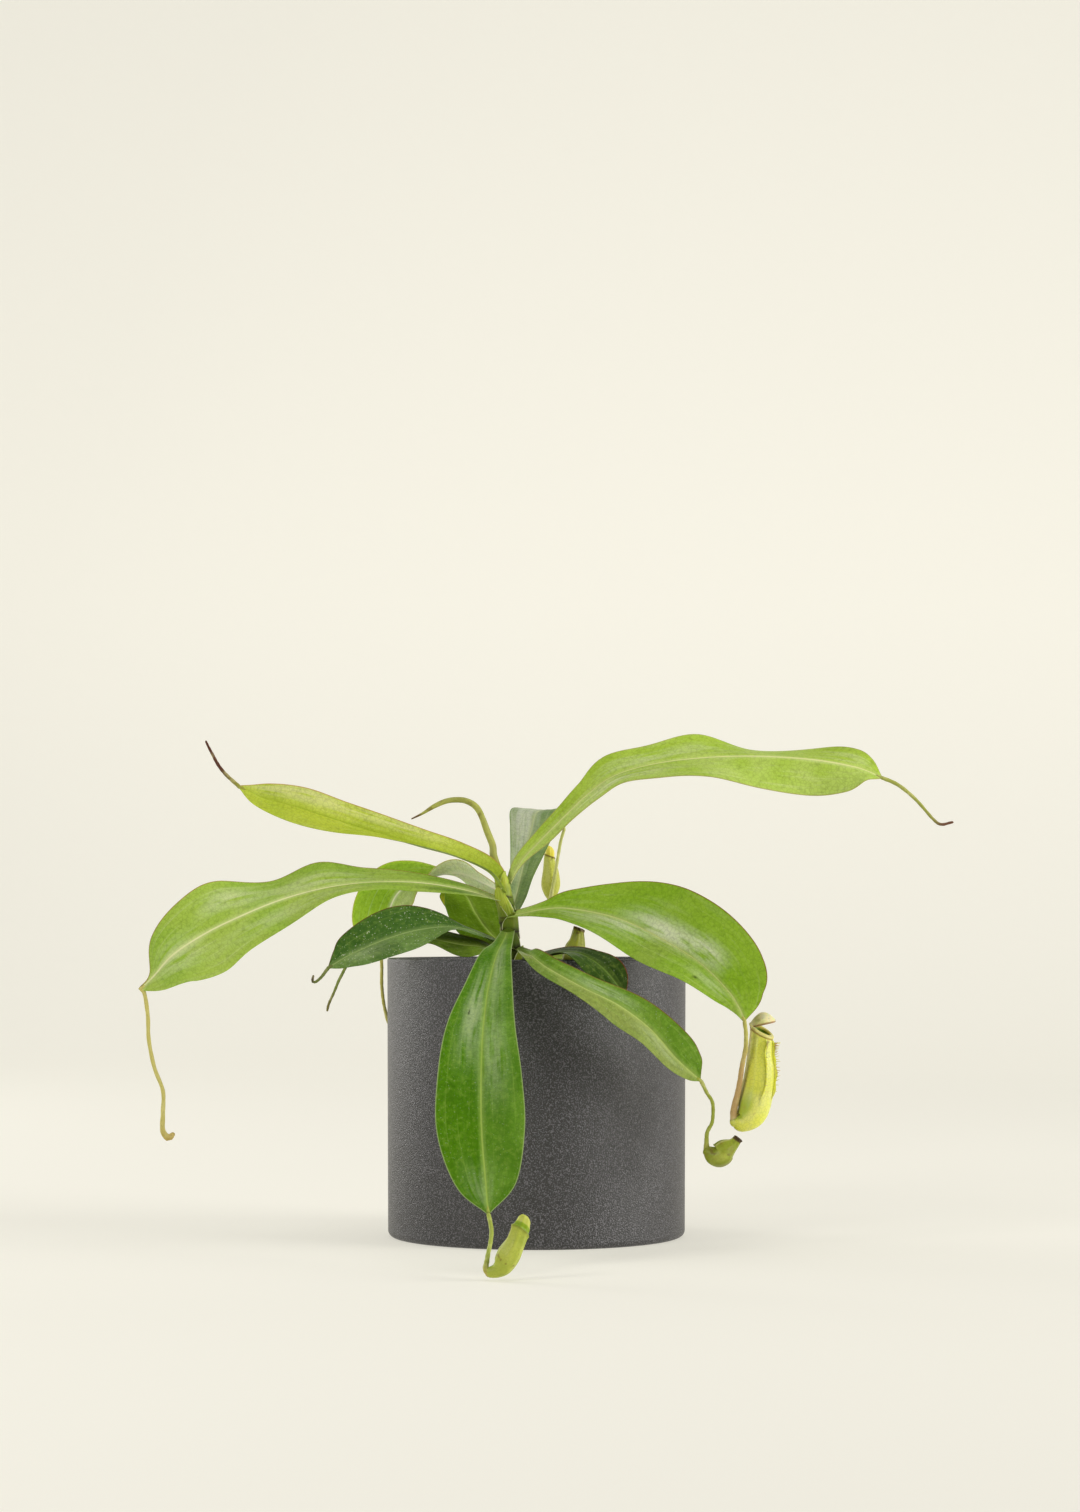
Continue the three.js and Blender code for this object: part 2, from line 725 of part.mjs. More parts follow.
// A domed leaf-shaped lid: arched along its length and across its width. Its outline and its dome are
// each most of a half turn of a sine, cut short of zero at the hinge and the tip so that both ends
// stay blunt.
function lidGeometry(lid) {
  const { steps, columns } = lid;
  const surface = (offset) => {
    const points = [];
    for (let i = 0; i <= steps; i++) {
      const t = i / steps;
      const outline = Math.sin(Math.PI * (0.12 + 0.82 * t));
      const arch = Math.sin(Math.PI * (0.08 + 0.86 * t));
      for (let j = 0; j <= columns; j++) {
        const s = (2 * j) / columns - 1;
        const x = lid.hinge[0] + lid.length * t;
        const y = lid.hinge[1] + lid.sway * t + lid.halfWidth * Math.sqrt(outline) * s;
        const dome = arch * (lid.rise * (1 - lid.sideDrop * s * s) + lid.tilt * s);
        points.push(new THREE.Vector3(x, y, lid.hinge[2] + lid.lift * t + dome + offset));
      }
    }
    return points;
  };
  const upper = surface(lid.thickness);
  const lower = surface(0);
  const row = columns + 1;
  const below = upper.length;
  const faces = [];
  const quad = (a, b, c, d) => faces.push([a, b, c], [a, c, d]);
  for (let i = 0; i < steps; i++) {
    for (let j = 0; j < columns; j++) {
      const a = i * row + j;
      quad(a, a + row, a + row + 1, a + 1);
      faces.push([below + a, below + a + row + 1, below + a + row]);
      faces.push([below + a, below + a + 1, below + a + row + 1]);
    }
    const l = i * row;
    const r = l + columns;
    quad(l, below + l, below + l + row, l + row);
    quad(r, r + row, below + r + row, below + r);
  }
  const end = steps * row;
  for (let j = 0; j < columns; j++) {
    quad(j, j + 1, below + j + 1, below + j);
    quad(end + j + 1, end + j, below + end + j, below + end + j + 1);
  }
  return geometryFrom([...upper, ...lower], faces);
}

function addOpenPitcher() {
  const { body, mouth, wall, stalk, wing, lid } = OPEN_PITCHER;
  const sides = OPEN_PITCHER_SIDES;
  const [mouthX, mouthY, mouthZ] = mouth.at;
  const lipHeight = (x, y) => mouthZ - mouth.slopeX * (x - mouthX) - mouth.slopeY * (mouthY - y);

  // Everything above the slanted mouth, as one block to cut away: it is wider and taller than what
  // is left of the pitcher there, and its underside is tilted to the mouth's slope.
  const blockSize = 40;
  const block = new THREE.BoxGeometry(blockSize, blockSize, blockSize);
  block.translate(mouthX, mouthY, mouthZ + blockSize / 2);
  const corners = block.attributes.position;
  for (let i = 0; i < corners.count; i++) {
    const isLower = corners.getZ(i) < mouthZ + blockSize / 2;
    if (isLower) corners.setZ(i, lipHeight(corners.getX(i), corners.getY(i)));
  }

  // Two thin wings run down the side that faces away from the tendril.
  const ridge = (angle) =>
    body.slice(wing.rows[0], wing.rows[1] + 1).map(([x, y, z, radius]) => {
      const reach = radius + wing.proud - wing.thick;
      return [x + reach * Math.cos(angle), y - reach * Math.sin(angle), z, wing.thick];
    });

  const hollow = body.slice(OPEN_PITCHER.hollowRow).map(([x, y, z, radius]) => [x, y, z, radius - wall]);
  hollow[0][2] += wall;

  // The rolled lip follows the slanted mouth.
  const lipRing = Array.from({ length: sides + 1 }, (_, i) => {
    const angle = (2 * Math.PI * i) / sides;
    const radius = body[body.length - 1][3] - wall / 2;
    const x = mouthX + radius * Math.cos(angle);
    const y = mouthY + radius * Math.sin(angle);
    return [x, y, lipHeight(x, y), mouth.lipRadius];
  });
  const halfTurn = sides / 2;
  const lipHalves = [lipRing.slice(0, halfTurn + 1), lipRing.slice(halfTurn)];

  let pitcher = solid(rod(body, sides, 2));
  for (const angle of wing.angles) {
    pitcher = pitcher.add(solid(rod(ridge(angle), TENDRIL_SIDES, 2)));
  }
  pitcher = pitcher.subtract(solid(block)).subtract(solid(rod(hollow, sides, 2)));
  pitcher = pitcher.add(solid(rod(stalk, STALK_SIDES, 2)));
  for (const half of lipHalves) {
    pitcher = pitcher.add(solid(rod(half, TENDRIL_SIDES, 1)));
  }
  pitcher = pitcher.add(solid(lidGeometry(lid)));
  place("pitcher_open_right", geometryOf(pitcher), OPEN_PITCHER.color, 0.45);
}

addPot();
addSoil();
place("stem", geometryOf(stemSolid), 0x4a4a28, 0.7);
addBlades();
addTendrils();
addOpenPitcher();

export default plant;
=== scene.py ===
# A potted tropical pitcher plant: the looks of every piece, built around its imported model.
#
# Metres, +Z up, +X to the viewer's right, +Y away from the viewer, as in the model. The tables of
# points below are in millimetres and repeat the lines that the model's own leaves, tendrils and
# pitchers follow, so each fine piece lies where its plain one does.
import math

import bpy
from bpy.props import FloatProperty, FloatVectorProperty, PointerProperty
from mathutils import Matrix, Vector, noise


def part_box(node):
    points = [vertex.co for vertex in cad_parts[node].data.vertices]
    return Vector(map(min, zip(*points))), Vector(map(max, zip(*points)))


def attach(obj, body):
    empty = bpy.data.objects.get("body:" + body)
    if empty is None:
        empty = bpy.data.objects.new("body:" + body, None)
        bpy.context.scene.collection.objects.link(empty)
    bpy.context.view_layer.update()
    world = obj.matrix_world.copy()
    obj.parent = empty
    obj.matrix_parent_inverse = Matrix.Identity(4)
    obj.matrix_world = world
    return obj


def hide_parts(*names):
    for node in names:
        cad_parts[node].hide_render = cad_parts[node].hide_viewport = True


bl_info = {
    "name": "Potted pitcher plant",
    "version": (1, 0, 0),
    "blender": (4, 5, 0),
    "location": "View3D > Sidebar > Plant",
    "description": "Builds a young tropical pitcher plant in a plain round pot",
    "category": "Add Mesh",
}

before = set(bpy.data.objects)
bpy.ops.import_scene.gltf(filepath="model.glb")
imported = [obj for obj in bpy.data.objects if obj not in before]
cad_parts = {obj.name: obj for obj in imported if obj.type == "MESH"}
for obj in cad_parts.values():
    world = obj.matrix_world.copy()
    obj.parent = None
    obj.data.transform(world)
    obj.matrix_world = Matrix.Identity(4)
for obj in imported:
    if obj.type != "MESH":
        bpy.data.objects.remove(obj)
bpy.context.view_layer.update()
POT_LOW, POT_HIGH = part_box("pot")
SOIL_LOW, SOIL_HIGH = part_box("soil")

MM = 0.001  # the tables below are in millimetres, the scene in metres
BODY = "root"


def colour(code, alpha=None):
    """An sRGB hex code as linear red, green and blue, with alpha where one is given."""
    channels = [int(code[i:i + 2], 16) / 255 for i in (0, 2, 4)]
    linear = [c / 12.92 if c <= 0.04045 else ((c + 0.055) / 1.055) ** 2.4 for c in channels]
    return tuple(linear) if alpha is None else (*linear, alpha)


# ---------------------------------------------------------------- lines of growth (mm)

# The stem's centre line, from inside the soil up to the growing tip: x, y, z, radius.
STEM = [
    (-11.5, -15, 96, 4.6),
    (-11.5, -15, 120, 4.6),
    (-12, -16, 135.5, 4.3),
    (-13, -17, 148, 4),
    (-15, -18, 159, 3.6),
    (-16.5, -18, 166.5, 3),
    (-17.5, -18, 170, 1.6),
]

# Each blade follows its midrib from the stem to the tip. A row is one point of the midrib: x, y, z,
# half width to the right and to the left (looking from stem to tip), roll in degrees (positive lifts
# the right side) and fold in degrees (positive lifts both sides into a V). wave is how far the edges
# rise and fall, how many times, and the right edge's phase in turns. heading, in degrees from +X, is
# given where the line from base to tip isn't the way the blade faces.
BLADES = {
    "leaf_upper_left": {
        "wave": (0.4, 1.5, 0.1),
        "rows": [
            (-15.5, -20, 159.5, 3.5, 3.5, 20, 50),
            (-21.5, -21, 169.3, 6, 5, 35, 45),
            (-36.5, -23, 176.6, 7, 6, 38, 40),
            (-54, -25, 181.5, 8.5, 8, 38, 38),
            (-72.5, -26, 187, 9.5, 10, 45, 33),
            (-91, -27, 193, 9.6, 13.2, 52, 25),
            (-109.5, -27, 199, 10, 12.2, 58, 20),
            (-127, -26, 204, 7, 7.2, 60, 18),
            (-137.5, -25, 209, 0.8, 0.8, 60, 10),
        ],
    },
    "leaf_long_right": {
        "wave": (1.1, 3, 0.3),
        "rows": [
            (-12, -17, 164, 3.2, 3, -20, 30),
            (-7, -15, 174.5, 4, 4, -38, 22),
            (3, -12, 185.5, 5.2, 5, -42, 8),
            (14, -10, 196.5, 5.8, 6.3, -44, 6),
            (24.5, -8, 206.5, 9.5, 9.2, -40, 8),
            (37, -6, 215, 12.5, 13.5, -35, 15),
            (55.5, -4, 220.5, 15.3, 12.6, -33, 9),
            (78.5, -2, 223.5, 17.5, 18.8, -36, 2),
            (104, 0, 224.5, 18.5, 18, -38, -24),
            (130, 2, 223, 18, 18, -47, -28),
            (148, 3, 220, 14.5, 13, -52, -8),
            (156.5, 4, 217.5, 8, 8, -50, 10),
            (163, 4, 214.5, 0.8, 0.8, -50, 0),
        ],
    },
    "leaf_long_left": {
        "wave": (1.3, 2.5, 0.6),
        "rows": [
            (-17, -17.5, 156, 3, 4, 20, 20),
            (-33.5, -22, 161.2, 5, 7.5, 32, 10),
            (-54.5, -28, 164.5, 8, 8, 32, 0),
            (-75.5, -34, 164.5, 12, 9.6, 22, 8),
            (-96, -40, 162, 16, 11.2, 38, 13),
            (-116.5, -46, 156.5, 14.8, 14.2, 50, -10),
            (-136.5, -52, 148, 21.5, 16.7, 62, -4),
            (-151, -56, 140.5, 19.5, 20, 68, 0),
            (-164, -60, 131.5, 14, 16.5, 66, 0),
            (-172.5, -62, 121.8, 2.5, 9, 62, 0),
            (-178.5, -63, 116, 0.8, 0.8, 60, 0),
        ],
    },
    "leaf_broad_right": {
        "wave": (1.3, 3, 0.3),
        "rows": [
            (-11, -20, 149, 3.8, 3.8, -25, 20),
            (2, -33, 152, 5.2, 5.4, -38, 7),
            (15, -40, 152.5, 8.8, 11, -46, 8),
            (37, -50, 148, 14.6, 20.5, -51, 11),
            (56, -58, 139, 16.5, 25, -60, 18),
            (73.5, -65, 128, 14, 25.5, -60, 20),
            (85.5, -70, 116, 8.5, 21.5, -60, 15),
            (90.5, -72, 108.5, 4, 12.5, -60, 10),
            (93, -73, 102.5, 0.8, 0.8, -60, 0),
        ],
    },
    "leaf_front": {
        "wave": (0.5, 1.5, 0.4),
        "rows": [
            (-13.5, -20, 141.5, 3, 3.6, 0, 15),
            (-16, -45, 136, 4, 5.5, 0, 15),
            (-18, -70, 131, 7.5, 7, 0, 10),
            (-21, -95, 118, 10.4, 10.8, 0, 8),
            (-23, -115, 100, 16, 14.2, 0, 6),
            (-23.5, -132, 80, 18.7, 17.6, 0, 6),
            (-23, -145, 58, 19.1, 18.5, 0, 5),
            (-21, -155, 36, 12.4, 13, 0, 5),
            (-20, -161, 25, 0.8, 0.8, 0, 0),
        ],
    },
    "leaf_low_right": {
        "wave": (1.1, 3, 0.0),
        "rows": [
            (-9.5, -20, 133.5, 3, 2.6, -10, 30),
            (-5, -46, 132, 4, 3.2, -15, 30),
            (-2, -71, 131, 4.5, 4.5, -25, 25),
            (5, -82, 126, 5, 6, -40, 5),
            (20.5, -88, 117.5, 7, 8.5, -35, 5),
            (36.5, -88, 109.5, 9, 9, -36, 0),
            (50.5, -84, 99, 8.5, 10, -36, 8),
            (62, -78, 86, 6.5, 11.5, -41, 10),
            (69, -74.5, 79.5, 4, 8, -40, 8),
            (73, -72, 76, 0.8, 0.8, -40, 0),
        ],
    },
    "leaf_dark_right": {
        "wave": (0.4, 1.5, 0.5),
        "rows": [
            (-9, -14.5, 127.5, 3, 3, -10, 20),
            (2, -30, 130.5, 5, 4, -20, 15),
            (13, -50, 132.5, 8, 5, -18, 12),
            (21, -66, 131.5, 9, 6, -15, 15),
            (29, -74, 126.5, 8, 8, -30, 5),
            (35, -75, 120, 6, 7, -35, 5),
            (39.5, -74, 113.5, 0.8, 0.8, -35, 0),
        ],
    },
    "leaf_mid_left": {
        "wave": (0.8, 2, 0.3),
        "rows": [
            (-15, -19, 135, 3, 3, 10, 25),
            (-29, -26, 142, 5, 5, 19, 0),
            (-41, -32, 144, 9, 9, 28, 18),
            (-55, -38, 142.5, 13, 12, 45, 15),
            (-68.5, -44, 138.5, 14, 13, 45, 14),
            (-82.5, -48, 132.5, 11, 11, 46, 14),
            (-89, -50, 129, 6, 6, 46, 10),
            (-94, -51, 126, 0.8, 0.8, 46, 0),
        ],
    },
    "leaf_arched_back": {
        "heading": 180,
        "wave": (0.6, 2, 0.2),
        "rows": [
            (-16.5, -15, 160.5, 3.2, 3.2, -15, 20),
            (-26, 2, 165.5, 10.5, 5.5, -35, 5),
            (-36.5, 14, 169.8, 11, 8, -40, 3),
            (-48, 24, 168.6, 11, 9, 5, 0),
            (-59.5, 30, 165, 14, 12, 45, 0),
            (-67.5, 33, 159, 18.6, 9.5, 62, 0),
            (-72.5, 35, 146.5, 19.2, 10.5, 66, 0),
            (-74, 36, 135.5, 12, 10, 66, 0),
            (-74.5, 36, 129, 0.8, 0.8, 66, 0),
        ],
    },
    "leaf_upright_back": {
        "heading": 85,
        "wave": (0.5, 1.5, 0.0),
        "rows": [
            (-13, -14.5, 148, 3, 3, 0, 15),
            (-10, -6, 157, 5.4, 3.5, 0, 15),
            (-7.5, 4, 167, 6.5, 5.2, 0, 15),
            (-5, 14, 179.5, 9.9, 7.6, 0, 12),
            (-2.5, 26, 190.5, 12.3, 10.3, 0, 8),
            (0, 41, 199, 12, 12.5, 0, 5),
            (6, 58, 200.5, 12.5, 11.5, 0, 5),
            (10, 72, 198, 8, 8, 0, 5),
            (13, 80, 193, 0.8, 0.8, 0, 0),
        ],
    },
    "leaf_old_back": {
        "heading": 105,
        "wave": (0.6, 1.5, 0.3),
        "rows": [
            (-14.5, -14.5, 135, 3.5, 8, 0, 3),
            (-22, -4, 141.5, 8, 15, 0, 0),
            (-29, 18, 150.5, 12, 15, -5, 3),
            (-34, 42, 158.6, 13, 11, -8, 5),
            (-39.5, 64, 158, 9, 8.2, 0, 5),
            (-42.5, 78, 151, 0.8, 0.8, 0, 0),
        ],
    },
    "leaf_low_left": {
        "wave": (0.5, 1.5, 0.1),
        "rows": [
            (-14, -18, 129, 3, 3, 10, 20),
            (-24, -27, 134.5, 6, 7.5, 20, 10),
            (-35, -31, 136, 9, 12.5, 30, 3),
            (-49, -32, 138.5, 10, 6.5, 28, 5),
            (-62.5, -32, 138, 8, 6, 28, 5),
            (-75.5, -33, 133.5, 6, 6, 25, 5),
            (-86, -35, 128, 0.8, 0.8, 20, 0),
        ],
    },
    "leaf_small_inner": {
        "wave": (0.3, 1, 0.2),
        "rows": [
            (-9.5, -13.5, 124.5, 2.5, 2.5, -10, 20),
            (0, -10, 128.5, 3.5, 3.5, -15, 15),
            (12, -10, 129.5, 4.5, 4.5, -15, 10),
            (22, -13, 125.5, 3.5, 3.5, -15, 5),
            (28, -17, 121, 0.8, 0.8, -10, 0),
        ],
    },
}

# The youngest leaf is still rolled into a tapering arched spike: x, y, z, radius.
ROLLED_LEAF = [
    (-17.8, -17.5, 170.8, 1.7),
    (-20, -16, 177, 1.8),
    (-20.5, -15, 182, 1.6),
    (-23, -14, 188.5, 1.5),
    (-25.5, -14, 195.5, 1.4),
    (-28, -13, 199.8, 1.5),
    (-31.5, -13, 202.3, 1.5),
    (-35.5, -13, 203.3, 1.4),
    (-41.5, -13, 202.9, 1.2),
    (-47.5, -14, 200.4, 1),
    (-53, -14, 197, 0.6),
    (-58, -14, 194.5, 0.4),
]

# Each tendril carries on from the tip of its blade: x, y, z, radius. A pitcher is a second run of
# points that starts inside the tendril's end and fattens into the pitcher.
TENDRILS = {
    "tendril_upper_left": {
        "stalk": [
            (-138.2, -25, 209.4, 0.9),
            (-145.6, -25, 216.5, 0.8),
            (-150, -24, 223.5, 0.7),
            (-153.3, -24, 230, 0.5),
        ],
    },
    "tendril_long_right": {
        "stalk": [
            (163.8, 4, 214.1, 0.9),
            (171, 5, 211, 0.9),
            (180, 6, 203.5, 0.8),
            (187.5, 7, 195, 0.7),
            (191.5, 8, 192.5, 0.7),
            (197, 9, 193.5, 0.6),
        ],
    },
    "tendril_long_left": {
        "stalk": [
            (-176.4, -62.5, 114.6, 0.9),
            (-175, -61, 104.5, 0.9),
            (-174.5, -60, 93.5, 0.9),
            (-172, -60, 81, 0.9),
            (-168, -60, 70.5, 0.9),
            (-168, -60, 61, 1),
            (-168, -60, 53, 1.2),
            (-165.5, -60, 49.5, 1.6),
            (-163.5, -60, 51, 1.1),
        ],
    },
    "tendril_arched_back": {
        "stalk": [
            (-74.6, 36, 128.3, 0.8),
            (-74.5, 37, 122.5, 0.8),
            (-74.5, 37, 116, 0.8),
            (-74, 38, 110.5, 0.8),
            (-73, 39, 104, 0.8),
            (-71, 40, 98, 1.1),
            (-68.5, 41, 96, 1.6),
        ],
    },
    "tendril_mid_left": {
        "stalk": [
            (-94.6, -51.3, 125.3, 0.8),
            (-97, -53, 122, 0.7),
            (-99.5, -54, 119.5, 0.6),
            (-101.3, -54, 119.5, 0.6),
            (-101, -54, 122, 0.5),
        ],
    },
    "tendril_low_left": {
        "stalk": [
            (-86.6, -35.5, 127.2, 0.8),
            (-88, -37, 124.5, 0.7),
            (-90, -38, 120.5, 0.7),
            (-92.5, -39, 114.5, 0.6),
            (-95, -40, 108.5, 0.6),
            (-95.5, -40, 106, 0.5),
        ],
    },
    "pitcher_front": {
        "stalk": [
            (-19.9, -161.4, 24.6, 0.9),
            (-18.5, -167, 18.5, 0.9),
            (-19, -175, 13.5, 0.9),
            (-20, -182, 8.5, 1),
            (-20.5, -187, 4.9, 1.3),
            (-19, -188, 3.2, 1.8),
        ],
        "body": [
            (-19, -188, 3.4, 2.2),
            (-16, -188, 4.2, 3),
            (-13.5, -188, 6.2, 4),
            (-11, -188, 10.5, 4.6),
            (-8, -188, 16, 3.6),
            (-6, -188, 21, 3.2),
            (-5, -188, 24, 2.6),
        ],
    },
    "pitcher_low_right": {
        "stalk": [
            (73.6, -71.6, 75.4, 0.9),
            (76, -71, 70.5, 0.8),
            (78.5, -70, 66.5, 0.8),
            (79, -70, 61.5, 0.8),
            (78.5, -70, 57, 0.8),
            (76.5, -70, 53, 0.9),
            (76, -70, 49, 1),
            (76, -70, 45, 1.4),
        ],
        "body": [
            (76, -70, 44.6, 2.2),
            (79, -70, 42.6, 4.4),
            (82, -70, 42.6, 5.4),
            (84.5, -70, 45, 4.8),
            (88, -70, 47.5, 2.6),
            (90, -70, 50, 1.8),
        ],
    },
    "pitcher_upright_back": {
        "stalk": [
            (13.6, 80.8, 192.3, 0.8),
            (12, 82, 186.5, 0.8),
            (10.5, 82, 178.5, 0.8),
            (9, 82, 169, 0.9),
            (7.5, 83, 161, 1),
            (7, 85, 156.8, 1.4),
            (7, 87, 158, 1.8),
        ],
        "body": [
            (7, 86.5, 157.3, 1.6),
            (7, 87, 160.5, 3.5),
            (7, 88, 165, 4.6),
            (7, 88, 171, 3.9),
            (6.5, 88, 177, 2.6),
            (6.5, 88, 181.5, 2.2),
        ],
    },
    "pitcher_small_inner": {
        "stalk": [
            (28.9, -17.8, 120.8, 0.8),
            (29, -20.8, 120.2, 0.8),
            (26.5, -23.6, 120.6, 0.9),
            (21, -24, 122.5, 1.4),
        ],
        "body": [
            (17, -24, 119.8, 3),
            (17, -24, 123, 5.4),
            (17.5, -24, 129, 5.5),
            (18, -24, 134, 4.9),
            (19, -24, 138, 3.4),
            (19.5, -24, 143.5, 2.2),
        ],
    },
}
# The one open pitcher hangs from the broad right leaf. Its stalk runs down its back and turns in under
# the foot, and its mouth slants down to the right and to the front under a domed lid.
OPEN_STALK = [
    (93, -73.6, 101.6, 0.9),
    (93.5, -73.5, 97, 0.9),
    (93.5, -73, 90.5, 1),
    (92, -72, 83, 1.1),
    (91, -71, 75.5, 1.2),
    (89.8, -70, 69, 1.4),
    (88.3, -69.5, 62, 1.6),
    (88.5, -69, 57.3, 1.9),
]
OPEN_BODY = [
    (88.5, -69, 57.3, 2.4),
    (92, -68, 57.2, 4.8),
    (96.5, -67, 61.5, 6.9),
    (99, -66, 70.5, 7.2),
    (100.3, -66, 79.5, 6.7),
    (100.5, -66, 87.5, 5.8),
    (101, -66, 94, 5.2),
    (101, -66, 97, 5.1),
]
OPEN_WALL = 0.9
OPEN_SLANT = (0.52, -0.3)  # how much the mouth drops per mm towards +X and +Y
WING_ANGLES = (0.35, 1.24)  # in radians from +X towards -Y
# The lid: its hinge at the back of the mouth, its length towards +X, how far its tip stands above and
# beside the hinge, how high it is domed, and the share of that lost and the height won at its sides.
LID = {"hinge": (96, -64.5, 98.6), "length": 11, "half_width": 4.6, "lift": 2.6, "sway": -1.5,
       "rise": 4.8, "side_drop": 0.5, "tilt": 2.2}

# The blade that each tendril or pitcher stalk carries on from.
CARRIED_BY = {
    "tendril_upper_left": "leaf_upper_left",
    "tendril_long_right": "leaf_long_right",
    "tendril_long_left": "leaf_long_left",
    "tendril_arched_back": "leaf_arched_back",
    "tendril_mid_left": "leaf_mid_left",
    "tendril_low_left": "leaf_low_left",
    "pitcher_front": "leaf_front",
    "pitcher_low_right": "leaf_low_right",
    "pitcher_upright_back": "leaf_upright_back",
    "pitcher_small_inner": "leaf_small_inner",
    "pitcher_open_right": "leaf_broad_right",
}

# ---------------------------------------------------------------- what each piece looks like

# Leaf colours, on the upper side to the right and left of the midrib, in the deeper clouds, on the
# underside, on the midrib and on the margin. edge_side is 1 or -1 where only the right or the left
# margin is tinted. light_through is the share of light that glows through the blade, wax the strength
# of its reflection and gloss its roughness. bloom is the strength of the dusty streaks in the streak
# colour, specks that of the pale dots. Each sheen is a painted highlight: a pale patch in the sheen tint
# that stands in for the shine of the wax, given by its middle and reach along the blade, its middle and
# reach across, and its strength. Each of the patches is a colour and a strength, then the same four
# numbers.
LIGHT_LEAF = {
    "right": "9db648", "left": "9db648", "deep": "84a52c", "under": "a9b883", "rib": "dfe3a0",
    "edge": "a88a5a", "edge_side": 0, "light_through": 0.12, "wax": 0.05, "gloss": 0.42,
    "bloom": 0.1, "streak": "d2dc9a", "specks": 0.05,
    "painted_sheens": [], "painted_sheen_tint": "d5dcae", "patches": [],
}
DARK_LEAF = {
    "right": "4f7a26", "left": "4f7a26", "deep": "33591a", "under": "7f9a52", "rib": "a9be60",
    "edge": "6c8a3c", "edge_side": 0, "light_through": 0.12, "wax": 0.04, "gloss": 0.36,
    "bloom": 0.12, "streak": "8fae4c", "specks": 0.12,
    "painted_sheens": [], "painted_sheen_tint": "b9c79a", "patches": [],
}
